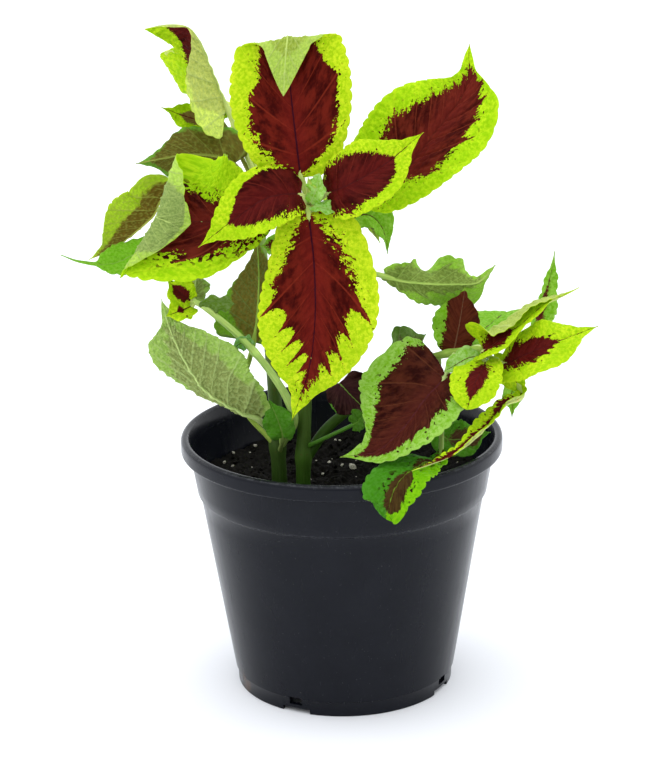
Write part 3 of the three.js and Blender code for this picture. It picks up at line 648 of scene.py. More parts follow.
LEAVES = {
    "crown_upper": dict(
        stem="main", at=0.97, width=54, palette="crown",
        spine=[(-16, -43, 254), (-18, -42, 271), (-20, -39, 292), (-21, -34, 309),
               (-21, -34, 313.8), (-21, -39, 313.8), (-22, -45, 304), (-23, -46, 291)],
        face=(0, -1, 0.25), fold=8, curl=-8, tail=(0.72, 0.44, 0.35), lean=(0, 0, 0.15), quilt=0.8,
        step=1.5, fray=(0.55, 0.3), dots=0.25,
        red=[(0, 0), (0.09, 0.36, 0.34), (0.18, 0.6, 0.62), (0.3, 0.72, 0.74), (0.45, 0.64, 0.78),
             (0.5, 0.48, 0.66), (0.57, 0.5), (0.64, 0.46), (0.8, 0.1)],
    ),
    "crown_lower": dict(
        stem="main", at=0.975, width=54, widest=(0.4, 0.48), palette="crown",
        spine=[(-13, -50, 240), (-11, -59, 219), (-11, -65, 196), (-14, -67, 174), (-22, -63, 149)],
        face=(0, -0.75, 0.6), fold=6, curl=-14, share=(1.04, 0.93), lobe=9, step=13,
        fray=(0.8, 0.4), steps_from=(0.44, 0.68), dots=0.3,
        red=[(0, 0.04, 0.05), (0.1, 0.26, 0.28), (0.2, 0.46), (0.3, 0.6, 0.7), (0.4, 0.7, 0.74),
             (0.46, 0.6, 0.62), (0.52, 0.5), (0.6, 0.4, 0.3), (0.68, 0.28, 0.15), (0.78, 0.1, 0.07),
             (0.88, 0)],
    ),
    "crown_left_small": dict(
        stem="main", at=0.965, width=29, widest=0.36, palette="young",
        spine=[(-16, -49, 248), (-30, -57, 249), (-43, -61, 242), (-61, -60, 228)],
        fold=14, curl=-10, fray=(0.5, 0.15),
        red=[(0, 0.5, 0.75), (0.1, 0.64, 0.84), (0.3, 0.72, 0.82), (0.48, 0.62, 0.6),
             (0.62, 0.3, 0.2), (0.7, 0)],
    ),
    "crown_right_small": dict(
        stem="main", at=0.98, width=33, widest=0.38, palette="young",
        spine=[(-5, -48, 248), (5, -56, 254), (20, -58, 263), (37, -54, 276)],
        face=(0, -0.85, 0.5), fold=12, curl=-10, fray=0.45,
        red=[(0, 0.3, 0.4), (0.08, 0.7, 0.66), (0.3, 0.8, 0.74), (0.5, 0.6, 0.66),
             (0.62, 0.3, 0.44), (0.7, 0)],
    ),
    "crown_right_large": dict(
        stem="main", at=0.93, width=56, widest=(0.36, 0.58), palette="bright",
        spine=[(14, -36, 240), (27, -38, 252), (42, -36, 271), (56, -32, 290), (58, -28, 309)],
        face=(0.1, -0.85, 0.5), fold=(8, 14), curl=-8, share=(1.06, 0.86), tail=(0.84, 0.16, 0.8),
        step=4, fray=(0.9, 0.6), steps_from=(0.3, 0.8), dots=0.3,
        red=[(0, 0), (0.2, 0.1, 0.05), (0.3, 0.62, 0.36), (0.42, 0.7, 0.54), (0.55, 0.5, 0.58),
             (0.7, 0.3, 0.5), (0.8, 0.12, 0.34), (0.86, 0.02, 0.12), (0.9, 0)],
    ),
    "crown_left_large": dict(
        stem="main", at=0.93, width=60, widest=(0.6, 0.56), palette="bright",
        spine=[(-27, -37, 238), (-43, -43, 237), (-58, -47, 236), (-70, -46, 237), (-78, -44, 238),
               (-79, -49, 239), (-72, -56, 238), (-64, -58, 238)],
        face=(-0.1, -0.9, 0.4), fold=6, fold_tip=-12, share=(0.95, 1.04), share_tip=(1.12, 1.2),
        tail=(0.9, 0.4, 0.4), lean=(0.5, 0, 0), step=3, fray=(0.8, 0.45), steps_from=(0.2, 0.55),
        dots=1,
        red=[(0, 0.1), (0.15, 0.34, 0.26), (0.4, 0.56, 0.3), (0.62, 0.64, 0.46), (0.76, 0.64, 0.56),
             (0.9, 0.5), (0.96, 0)],
        colours=dict(
            under_margin=(0.44, 0.66, 0.08), under_centre=(0.27, 0.38, 0.09),
            under_vein=(0.42, 0.55, 0.15),
        ),
    ),
    "rear_left": dict(
        stem="rear", at=0.93, width=34, widest=(0.27, 0.42), palette="shaded",
        spine=[(-47, 8, 249), (-56, 7, 253), (-68, 6, 254), (-80, 7, 252), (-92, 10, 249)],
        face=(0, 0.75, 0.65), fold=(60, -10), curl=(10, -10), share=(0.84, 1.1),
        red=[(0, 0.8, 0.9), (0.3, 0.84, 0.88), (0.6, 0.72, 0.8), (0.76, 0.2, 0.3), (0.84, 0)],
        colours=dict(
            under_margin=(0.16, 0.4, 0.03), under_centre=(0.15, 0.125, 0.013),
            under_vein=(0.26, 0.3, 0.05),
        ),
    ),
    "rear_far_left": dict(
        stem="rear", at=0.87, width=38, palette="bright",
        spine=[(-76, 18, 232), (-86, 13, 223), (-96, 10, 215), (-105, 8, 209), (-115, 7, 205)],
        face=(0.1, 0.95, 0.3), fold=(5, 70), curl=-8, share=(1.05, 0.3),
        red=[(0, 0.3), (0.2, 0.46, 0.5), (0.5, 0.42, 0.5), (0.7, 0.26, 0.4), (0.86, 0.1, 0.3),
             (0.95, 0)],
        colours=dict(under_centre=(0.2, 0.13, 0.014), under_vein=(0.42, 0.46, 0.08)),
    ),
    "rear_upright": dict(
        stem="rear", at=0.965, width=42, widest=(0.42, 0.4), palette="young",
        spine=[(-50, 14, 272), (-56, 10, 290), (-61, 8, 304), (-66, 9, 311), (-75, 12, 312),
               (-86, 14, 310)],
        face=(-0.8, 0.55, -0.2), fold=(82, 15), share=1.4, share_tip=(1.3, -0.6),
        tail=(0.9, 0.3, 0.5), lobe=11, step=2, fray=0.5,
        red=[(0, 0.1), (0.2, 0.5), (0.5, 0.4), (0.7, 0.5, 0.4), (0.85, 0)],
        colours=dict(under_margin=(0.78, 0.92, 0.17), under_centre=(0.64, 0.72, 0.16)),
    ),
    "rear_small": dict(
        stem="rear", at=0.95, width=16, palette="bright",
        spine=[(-53, 21, 266), (-65, 21, 267), (-80, 19, 273)],
        curl=-10, step=0,
        red=[(0.1, 0), (0.25, 0.4), (0.55, 0.4), (0.7, 0)],
        colours=dict(centre=(0.13, 0.06, 0.012)),
    ),
    "rear_low": dict(
        stem="rear", at=0.84, width=20, widest=0.3,
        spine=[(-84, 0, 212), (-103, -4, 206), (-117, -8, 208), (-126, -10, 212)],
        face=(0, -0.5, 0.85), curl=-10, tail=(0.6, 0.14, 1.2),
        colours=dict(margin=(0.2, 0.47, 0.012), midrib=(0.24, 0.44, 0.06)),
    ),
    "rear_back": dict(
        stem="rear", at=0.96, width=50, widest=0.4, palette="bright",
        spine=[(-33, 30, 252), (-26, 52, 258), (-18, 74, 256), (-12, 92, 244)],
        face=(0, 0.2, 1), curl=-10, **PLAIN_RED,
    ),
    "rear_back_right": dict(
        stem="rear", at=0.88, width=44, widest=0.4, palette="bright",
        spine=[(-20, 22, 228), (-4, 38, 224), (12, 52, 212), (20, 62, 196)],
        face=(0.3, 0.4, 0.85), curl=-12, **PLAIN_RED,
    ),
    "left_upright": dict(
        stem="rear", at=0.29, width=40, widest=(0.2, 0.14), palette="shaded",
        stalk=[(-43, -15, 137), (-44, -19, 154), (-41, -23, 166)],
        spine=[(-39, -25, 174), (-37, -24, 188), (-36, -22, 206), (-37, -20, 226)],
        face=(0.2, 0.95, -0.1), curl=-10, share=(0.75, 1), tail=(0.84, 0.2, 1.4),
        stalk_tone=(0.34, 0.5, 0.08),
        colours=dict(under_margin=(0.25, 0.52, 0.035), under_centre=(0.24, 0.19, 0.03)),
        **PLAIN_RED,
    ),
    "main_right": dict(
        stem="main", at=0.82, width=32, widest=(0.58, 0.5),
        spine=[(20, -20, 203), (28, -19, 200), (40, -17, 198), (53, -15, 197), (63, -12, 197),
               (71, -9, 204)],
        face=(0.1, 0.95, 0.2), fold=(25, 55), share=(0.75, 0.85), share_tip=(1.8, 0.85),
        flutter=(4, 44),
        colours=dict(
            under_margin=(0.37, 0.68, 0.06), under_centre=(0.24, 0.34, 0.06),
            under_vein=(0.42, 0.6, 0.13),
        ),
        **PLAIN_RED,
    ),
    "main_small": dict(
        stem="main", at=0.8, width=12, widest=0.5,
        spine=[(-21, -31, 218), (-27, -29, 220), (-35, -26, 219)],
        **PLAIN_RED,
    ),
    "main_hooked": dict(
        stem="main", at=0.88, width=17, widest=0.4,
        spine=[(5, -18, 229), (14, -13, 229), (20, -12, 222), (22, -13, 211)],
        face=(0.5, -0.6, 0.6), fold=20,
    ),
    "main_back": dict(
        stem="main", at=0.6, width=42, widest=0.4,
        spine=[(-10, 0, 172), (-7, 22, 174), (-4, 46, 168), (0, 64, 152)],
        face=(0, 0.2, 1), curl=-12, **PLAIN_RED,
    ),
    "lower_left": dict(
        stem="rear", at=0.31, width=46, widest=(0.48, 0.64),
        spine=[(-38, -26, 138), (-47, -32, 144), (-61, -39, 156), (-69, -44, 171), (-75, -46, 186),
               (-79, -42, 200)],
        face=(0.1, 0.97, 0.2), fold=(0, 55), fold_tip=0, share=(1.12, 0.72), quilt=1.8, **PLAIN_RED,
    ),
    "side_heart": dict(
        stem="side", at=0.84, width=50, widest=(0.2, 0.25),
        spine=[(46, -44, 162), (37, -51, 154), (27, -58, 143), (15, -62, 134), (-1, -61, 131)],
        face=(-0.2, -0.8, 0.6), fold=(14, 8), curl=(0, -10), share=(0.82, 1.25),
        tail=(0.85, 0.16, 0.9), lobe=16, lobe_power=0.6, step=3.5, fray=(0.3, 0.35),
        steps_from=(0, 0.5), dots=0.35,
        red=[(0, 0.45, 0.5), (0.1, 0.6, 0.74), (0.3, 0.55, 0.66), (0.5, 0.4, 0.5), (0.7, 0.2, 0.28),
             (0.82, 0.08, 0.06), (0.88, 0)],
        colours=dict(margin=(0.3, 0.56, 0.035), centre=(0.05, 0.006, 0.003)),
    ),
    "side_red": dict(
        stem="side", at=0.8, width=22,
        spine=[(51, -22, 167), (54, -19, 179), (57, -15, 196)],
        face=(0, -1, 0.3), curl=-8, share=(1.15, 0.85), fray=0.2,
        red=[(0, 0.5, 0.7), (0.2, 0.5, 0.9), (0.5, 0.5, 0.95), (0.8, 0.6, 0.9), (0.93, 0)],
        colours=dict(midrib=(0.2, 0.09, 0.05)),
    ),
    "side_folded": dict(
        stem="side", width=34, widest=(0.3, 0.4), palette="young",
        spine=[(63, -44, 174), (71, -43, 179), (80, -41, 185), (91, -37, 193), (100, -33, 196),
               (107, -31, 199)],
        face=(0, -0.6, 0.8), fold=(8, 10), curl=(0, -10), share=(1.3, 0.9), share_tip=(1.1, -0.3),
        lobe=4, hem=((0.42, 165), None), fray=(0.4, 0.3),
        red=[(0, 0.1), (0.06, 0.3), (0.2, 0.4, 0.45), (0.28, 0.1, 0.2), (0.34, 0)],
    ),
    "side_right": dict(
        stem="side", at=0.95, width=31, widest=0.4, palette="young",
        spine=[(72, -43, 168), (81, -48, 173), (93, -51, 179), (114, -48, 186)],
        curl=-10, share=(0.95, 1), step=3, fray=0.4, steps_from=(0.1, 0.6),
        red=[(0.03, 0.2), (0.15, 0.5, 0.34), (0.3, 0.5, 0.44), (0.45, 0.4), (0.62, 0)],
    ),
    "side_round": dict(
        stem="side", at=0.9, width=24, widest=0.5, palette="young",
        spine=[(64, -47, 170), (59, -59, 164), (55, -66, 154)],
        fold=8, curl=-10, tail=(0.95, 0.6, 0.1), lobe=6,
        red=[(0.1, 0.1), (0.25, 0.34), (0.55, 0.38), (0.72, 0.2), (0.85, 0)],
    ),
    "side_long": dict(
        stem="side", at=0.87, width=10, widest=0.36, palette="young",
        spine=[(80, -44, 156), (72, -52, 151), (62, -62, 143), (48, -74, 136), (30, -86, 133)],
        face=(-0.5, -0.6, 0.6), fold=(30, 55),
        red=[(0.1, 0.2), (0.2, 0.6), (0.34, 0.2), (0.5, 0.5, 0.4), (0.85, 0.5, 0.2), (0.95, 0)],
    ),
    "side_rim": dict(
        stem="side", at=0.75, width=32, widest=0.64, palette="shaded",
        spine=[(44, -52, 130), (36, -62, 128), (27, -73, 126), (22, -80, 121), (20, -83, 115),
               (19, -82, 112), (19, -81, 109)],
        face=(-0.2, -0.7, 0.7), fold=(10, 4), fold_tip=(20, 0), curl=(-10, 0), share=(1, 0.85),
        share_tip=(0.8, 1), tail=(0.97, 0.9, 0.1), quilt=1.5, dots=0.5,
        red=[(0, 0.1), (0.3, 0.14, 0.2), (0.45, 0.05, 0), (0.58, 0.44, 0.2), (0.86, 0.44, 0.2),
             (0.92, 0)],
        colours=dict(margin=(0.07, 0.27, 0.008), centre=(0.04, 0.014, 0.003), midrib=(0.16, 0.3, 0.02)),
        first_colours=dict(margin=(0.2, 0.52, 0.002)),
    ),
    "side_upright": dict(
        stem="side", at=0.92, width=16, widest=0.36,
        spine=[(86, -18, 170), (91, -14, 184), (95, -11, 196), (98, -8, 210)],
        face=(0.8, -0.6, 0), fold=20,
        red=[(0.1, 0.1), (0.3, 0.5, 0.3), (0.5, 0.4, 0.2), (0.7, 0)],
    ),
    "side_pendent": dict(
        stem="side", at=0.82, width=12, widest=0.4,
        spine=[(76, -31, 158), (77, -33, 150), (77, -36, 140)],
        face=(0.5, -0.7, 0.3),
    ),
    "side_inside": dict(
        stem="side", at=0.62, width=20, palette="shaded",
        spine=[(44, -26, 131), (54, -28, 127), (68, -27, 130)],
        face=(0, -0.5, 0.9), curl=-10, fray=0.5,
        red=[(0.2, 0), (0.4, 0.5), (0.7, 0.5), (0.85, 0)],
    ),
    "side_back": dict(
        stem="side", at=0.7, width=40,
        spine=[(58, -10, 167), (70, 8, 171), (79, 26, 171), (85, 44, 160)],
        face=(0.1, 0.2, 1), curl=-12,
    ),
    "middle_behind": dict(
        stem="side", at=0.42, width=42, palette="shaded",
        spine=[(25, -4, 152), (32, 2, 158), (40, 10, 166)],
        face=(0.2, 0.7, 0.5), **PLAIN_RED,
    ),
    "middle_shaded": dict(
        stem="side", at=0.3, width=26, palette="shaded",
        spine=[(-1, -20, 152), (5, -24, 147), (13, -28, 140)],
        face=(-0.3, 0.9, -0.3), step=0,
        red=[(0, 0.9), (1, 1)],
        colours=dict(centre=(0.03, 0.006, 0.006)),
    ),
}

# Young leaves at the tips and nodes, which belong to their stem's solid
SHOOT_LEAVES = {
    "rear_node_leaf": dict(
        stem="rear", at=0.26, width=15, widest=0.4, palette="shaded",
        spine=[(-27, -28, 129), (-29, -29, 138), (-33, -28, 148)],
        face=(0, -1, 0.2),
    ),
    "crown_bud_folded": dict(
        stem="main", width=11, widest=0.45, palette="crown",
        spine=[(-13, -46, 246), (-13, -49, 250), (-13, -50, 256)],
        face=(0.9, -0.3, 0.3), fold=60, curl=10,
    ),
    "crown_bud_round": dict(
        stem="main", width=10, widest=0.5, palette="bright",
        spine=[(-12, -48, 244), (-10, -51, 250), (-8, -52, 258)],
        face=(-0.2, -0.9, 0.3), fold=12, curl=-20, tail=(0.9, 0.5, 0.3),
        colours=dict(margin=(0.36, 0.66, 0.06), midrib=(0.4, 0.62, 0.16)),
    ),
    "crown_bud_low": dict(
        stem="main", at=0.975, width=8, widest=0.45, palette="bright",
        spine=[(-11, -50, 243), (-6, -53, 243), (1, -54, 241)],
        fold=15, colours=dict(margin=(0.3, 0.6, 0.05), midrib=(0.4, 0.62, 0.16)),
    ),
    "main_low_leaf": dict(
        stem="main", at=0.29, width=11, widest=0.45,
        spine=[(5, -40, 139), (8, -44, 143), (11, -47, 147)],
        face=(0.2, -0.8, 0.5), stalk_tone=(0.07, 0.2, 0.02),
        colours=dict(margin=(0.07, 0.19, 0.008), midrib=(0.12, 0.28, 0.03)),
    ),
    "side_bud_left": dict(
        stem="side", width=12, widest=0.5, palette="young",
        spine=[(64, -40, 170), (57, -44, 171), (46, -45, 165)],
        tail=(0.9, 0.4, 0.3), colours=dict(margin=(0.34, 0.6, 0.06)),
    ),
    "side_bud_low": dict(
        stem="side", width=14, widest=0.5, palette="young",
        spine=[(68, -40, 169), (75, -42, 164), (81, -42, 154)],
        tail=(0.9, 0.4, 0.3),
    ),
    "left_node_leaf": dict(
        stem="left", at=0.4, width=8, widest=0.5,
        spine=[(-40, -33, 175), (-44, -36, 177), (-49, -37, 174)],
        colours=dict(margin=(0.3, 0.58, 0.1)),
    ),
    "left_high_leaf": dict(
        stem="left", at=0.86, width=12, widest=0.5, palette="shaded",
        spine=[(-60, -38, 195), (-56, -39, 197), (-47, -38, 196)],
        tail=(0.92, 0.5, 0.3), colours=dict(margin=(0.2, 0.32, 0.03)),
    ),
    "left_shoot_upper": dict(
        stem="left", width=15, widest=0.45, palette="young",
        spine=[(-66, -39, 198), (-71, -42, 203), (-76, -43, 209)],
        face=(0, -0.9, 0.3), fold=20, step=0, fray=0.2,
        red=[(0.1, 0.1), (0.3, 0.5), (0.6, 0.4), (0.8, 0)],
    ),
    "left_shoot_lower": dict(
        stem="left", width=14, widest=0.45, palette="young",
        spine=[(-66, -41, 196), (-71, -45, 195), (-77, -46, 193)],
        face=(0, -0.8, 0.5), fold=20, step=0, fray=0.2,
        red=[(0.3, 0), (0.45, 0.35), (0.6, 0)],
    ),
    "left_shoot_behind": dict(
        stem="left", width=13, widest=0.45,
        spine=[(-65, -36, 198), (-64, -34, 203), (-63, -33, 210)],
        face=(0.3, 0.9, -0.1), fold=20, **PLAIN_RED,
    ),
}


# Leaf shape


def grown(length, least, reach):
    """What a detail is scaled by on a blade of this length: 1 on a full-grown one, and not much
    over least on a tiny one."""
    return min(1, least + length / reach)


def rib_size(length):
    """How thick the midrib is at the base of a blade of this length, in millimetres."""
    return 0.7 + length * 0.008


def blade_outline(fraction, widest, tail_shape):
    """The blade's width along its length, 1 where it is widest, with a narrow tail at the tip."""
    shoulder, tail_width, taper = tail_shape
    stretch = math.log(0.5) / math.log(widest)
    body = np.sin(np.pi * fraction**stretch) ** (0.5 + taper * fraction**1.5)
    tail = tail_width * np.maximum(0, (1 - fraction) / (1 - shoulder)) ** 0.85
    in_tail = smooth(shoulder - 0.08, shoulder + 0.05, fraction)
    return mix(body, np.minimum(tail, body), in_tail)


def tooth_depth(blade, teeth, hand, outline, scale, shoulder):
    """How far the margin lies in from the points of its rounded teeth, which end before the tip."""
    phase = blade * teeth + 0.3 * hand
    leaning = (phase - np.floor(phase)) ** 0.8
    crown = np.sin(np.pi * leaning) ** 0.6
    toothed = 1 - smooth(shoulder - 0.02, shoulder + 0.1, blade)
    return TOOTH_DEPTH * scale * np.minimum(1, outline * 3) * (1 - crown) * toothed


def vein_places(across, along, length):
    """Where each point lies among the side veins: the place on the midrib its vein leaves from,
    and the distance along that vein. Veins at the base spread wide, and those further up lean
    towards the tip."""
    swept = np.abs(across) * (1 + 0.008 * np.abs(across))
    base_slope, slope, tip_slope, spread_end = 0.0, 1.2, 2.1, 0.3 * length
    base_gain = (slope - base_slope) / spread_end
    tip_gain = (tip_slope - slope) / (length - spread_end)
    near_base = (along - swept * base_slope) / (1 + swept * base_gain)
    further = (along - swept * (slope - tip_gain * spread_end)) / (1 + swept * tip_gain)
    origin = np.where(near_base < spread_end, near_base, further)
    return origin, np.sign(across) * np.hypot(across, along - origin)


def red_depth(leaf, length, blade, across, half_width, vein, seed):
    """Distance into the red centre in millimetres, below 0 outside it, and how far it frays."""
    if leaf["red"] is None:
        return np.full(across.shape, NO_RED_DEPTH), np.ones(across.shape)
    places = [row[0] for row in leaf["red"]]
    left, right = (np.interp(blade, places, [row[k] for row in leaf["red"]]) for k in (1, -1))
    hand = across >= 0
    extent = np.where(hand, right, left)
    band = np.floor(vein + 0.3)
    within = vein + 0.3 - band
    uneven = 0.5 + scatter(band, hand * 1.0, seed)
    spike = np.where(within < 0.3, (within / 0.3) ** 3, np.exp(-(within - 0.3) / 0.13)) - 0.2
    first, last = leaf["steps_from"]
    stepped = smooth(first - 0.1, first + 0.05, blade) * (1 - smooth(last, last + 0.12, blade))
    steps = leaf["step"] * uneven * spike * stepped
    beyond = np.maximum(0, np.maximum(places[0] - blade, blade - places[-1]))
    depth = extent * half_width - np.abs(across) + steps - beyond * length * 2
    low_fray, high_fray = leaf["fray"]
    frayed = np.where(hand, high_fray, low_fray) * (1 + 1.6 * (1 - smooth(0.15, 0.45, blade)))
    return depth, frayed


def filled_in(leaf):
    """A leaf with what is usual where it says nothing, and a pair for each single number."""
    leaf = PLAIN_LEAF | leaf
    leaf = dict(fold_tip=leaf["fold"], share_tip=leaf["share"]) | leaf
    for key in PAIRS:
        if not isinstance(leaf[key], tuple):
            leaf[key] = (leaf[key], leaf[key])
    return leaf


def leaf_frame(leaf):
    """The leaf's line from its stem to its tip, and the length of its blade."""
    root = stem_line(leaf["stem"]).at(leaf["at"])[0][0]
    points = [root, *leaf["stalk"], *leaf["spine"]]
    blade_start = (1 + len(leaf["stalk"])) / (len(points) - 1)
    line = Line(points, leaf["face"], blade_start)
    return line, line.total * (1 - line.start)


def blade_half(leaf, length, hand, frame_lines, blade, spacing, teeth, rib):
    """One half of the blade before its relief, as grids that run from left to right."""
    point, along, face, sideways = frame_lines
    sign = 1 if hand else -1
    share = mix(leaf["share"][hand], leaf["share_tip"][hand], blade)
    outline = blade_outline(blade, leaf["widest"][hand], leaf["tail"])
    outline[0] = 0
    tooth_scale = grown(length, 0.45, 130)
    notch = tooth_depth(blade, teeth, hand, outline, tooth_scale, leaf["tail"][0])
    least = rib * (1 - blade) ** 0.8 * 0.8 + 0.15
    half = np.maximum((outline * leaf["width"] / 2 - notch) * share, least)
    across = spacing[None, :]
    reach = half[:, None] * across
    opening = np.minimum(1, blade * 6)[:, None]
    folded = mix(leaf["fold"][hand], leaf["fold_tip"][hand], blade)[:, None]
    swaying = np.sin(blade * WAVE_TURNS + hand * 2)[:, None]
    bent = leaf["curl"][hand] * across * 0.5 + leaf["flutter"][hand] * across * swaying
    angle = np.radians((folded + bent) * opening)
    outward, raised = reach * np.cos(angle), reach * np.sin(angle)
    if leaf["hem"][hand]:
        outward, raised = turn_over(across, reach, angle, opening, *leaf["hem"][hand])
    wave = across**2 * np.minimum(1, outline * 1.5)[:, None] * swaying
    lobe = leaf["lobe"] * across ** leaf["lobe_power"]
    lobe = lobe * np.maximum(0, 1 - blade * 4)[:, None] * smooth(0, 0.012, blade)[:, None]
    place = (
        point[:, None]
        - along[:, None] * lobe[..., None]
        + sideways[:, None] * (sign * outward)[..., None]
        + face[:, None] * (raised + wave)[..., None]
    )
    blank = 0 * reach
    grids = dict(
        place=place, x=sign * reach, y=blade[:, None] * length - lobe + blank, rim=across + blank,
        half=half[:, None] + blank, blade=blade[:, None] + blank,
        full=leaf["width"] / 2 * leaf["share"][hand] + blank,
    )
    return grids if hand else {key: grid[:, :0:-1] for key, grid in grids.items()}


def blade_sheet(leaf, line, length, seed):
    """The blade's two faces as grids, the surface between them, and what its materials read."""
    rib = rib_size(length)
    rows = max(FEWEST_ROWS, round(length / ROW_PITCH))
    columns = max(FEWEST_COLUMNS, round(leaf["width"] / 2 * max(leaf["share"]) / COLUMN_PITCH))
    blade = np.linspace(0, 1, rows + 1)
    point, along, face, side = line.at(mix(line.start, 1, blade))
    lean = np.asarray(leaf["lean"]) * np.minimum(1, blade * 1.6)[:, None]
    frame_lines = (point, along, face, unit(side + lean))
    teeth = max(4, round(length / (TOOTH_PITCH * grown(length, 0.55, 170))))
    spacing = (np.arange(columns + 1) / columns) ** COLUMN_CROWDING
    left, right = (
        blade_half(leaf, length, hand, frame_lines, blade, spacing, teeth, rib) for hand in (0, 1)
    )
    sheet = {key: np.concatenate([left[key], right[key]], axis=1) for key in left}

    pitch = length / VEIN_PAIRS
    origin, outward = vein_places(sheet["x"], sheet["y"], length)
    vein = origin / pitch
    off_vein = np.abs(vein - np.round(vein)) * pitch
    side_vein = bell(off_vein, SIDE_VEIN_REACH) * smooth(0.5, 4, sheet["half"])
    cell = CELL_SIZE * grown(length, 0.5, 160)
    borders = cell_borders(origin * 1.05, outward, cell, seed)
    small_vein = 1 - smooth(0.03, 0.17, borders)
    midrib_width = 0.12 + 0.32 * rib * (1 - sheet["blade"])

    quilt = leaf["quilt"] * grown(length, 0.4, 140)
    bulge = np.abs(np.sin(np.pi * np.clip(off_vein / pitch, 0, 0.5))) ** 0.6
    pillow = PILLOW_HEIGHT * quilt * (bulge - 0.5)
    pillow = pillow + CELL_HEIGHT * quilt * (smooth(0, 0.45, borders) - 0.5)
    groove = GROOVE_DEPTH * bell(sheet["x"], GROOVE_REACH)
    settle = smooth(0.3, 5, sheet["half"]) * (1 - 0.65 * sheet["rim"] ** 4)
    ripple = RIPPLE_HEIGHT * quilt * sheet["rim"] ** 6 * np.cos(2 * np.pi * sheet["blade"] * teeth)
    normal = surface_normals(sheet["place"])
    relief = pillow * settle - groove * settle + ripple * smooth(1, 6, sheet["half"])
    middle = sheet["place"] + normal * relief[..., None]
    normal = surface_normals(middle)
    tooth_zone = smooth(0.9, 1.0, sheet["rim"])
    thin = BLADE_HALF_THICKNESS * (1 - 0.55 * tooth_zone)
    raised = SIDE_VEIN_HEIGHT * quilt * side_vein * settle + SMALL_VEIN_HEIGHT * small_vein * settle
    top = middle + normal * thin[..., None]
    bottom = middle - normal * (thin + raised)[..., None]

    depth, fray = red_depth(leaf, length, sheet["blade"], sheet["x"], sheet["full"], vein, seed)
    own = np.full(sheet["x"].shape, seed * OWN_NUMBER_STEP)
    readings = {
        "flat": np.stack([sheet["x"], sheet["y"], own], -1),
        "veins": np.stack([vein, outward, own], -1),
        "marks": np.stack([depth, leaf["dots"] + 0 * depth, small_vein], -1),
        "edges": np.stack([fray, midrib_width, tooth_zone], -1),
    }
    return top, bottom, middle, readings


def turn_over(across, reach, angle, opening, start, degrees):
    """Bends the outer part of a half over, from start, a share of its width."""
    bend = np.radians(degrees) * smooth(start - 0.1, start + 0.1, across) * opening
    direction = angle + bend
    step = np.diff(reach, axis=1, prepend=0)
    middle = np.concatenate([direction[:, :1], (direction[:, 1:] + direction[:, :-1]) / 2], axis=1)
    return np.cumsum(step * np.cos(middle), axis=1), np.cumsum(step * np.sin(middle), axis=1)


def surface_normals(grid):
    """The direction square to a grid of points, at each of them."""
    along = np.gradient(grid, axis=0)
    across = np.gradient(grid, axis=1)
    return unit(np.cross(across, along))


def stalk_tube(line, length, middle):
    """The stalk and midrib as one tapering tube that lies under the blade, and what its points
    read as flat."""
    rib = rib_size(length)
    stalk_rings = max(4, round((line.total - length) / STALK_RING_PITCH))
    blade_rings = max(12, round(length / MIDRIB_RING_PITCH))
    stalk_places = np.linspace(0, line.start, stalk_rings, endpoint=False)
    blade_places = np.linspace(0, MIDRIB_END, blade_rings)
    places = np.concatenate([stalk_places, mix(line.start, 1, blade_places)])
    point, _, face, side = line.at(places)
    blade = np.concatenate([np.zeros(stalk_rings), blade_places])
    slimmer = 1 - 0.6 * smooth(0, 0.15, blade)
    radius = (0.9 * rib + 0.1) * (1 - blade) ** 0.8 * slimmer + 0.1
    from_root = places * line.total
    radius = radius * (1 + STALK_SWELLING * bell(from_root - SWELLING_PLACE, SWELLING_REACH))
    drop = mix(0.55, 1.0, smooth(0, 0.08, blade))
    spine = middle[:, middle.shape[1] // 2]
    on_blade = np.stack(
        [np.interp(blade_places, np.linspace(0, 1, len(spine)), spine[:, k]) for k in range(3)], 1
    )
    held = smooth(0, 0.06, blade)[stalk_rings:, None]
    point[stalk_rings:] = mix(point[stalk_rings:], on_blade, held)
    centre = point - face * (radius * drop)[:, None]

    def groove(angles):
        return 1 - STALK_GROOVE * bell(np.minimum(angles, 2 * np.pi - angles), 0.5)

    rings = tube(centre, side, face, radius, STALK_SIDES, groove)
    angles = np.arange(STALK_SIDES) * 2 * np.pi / STALK_SIDES
    flat = np.zeros(rings.shape)
    flat[..., 0] = np.sin(angles)[None] * radius[:, None]
    flat[..., 1] = from_root[:, None]
    return rings, flat


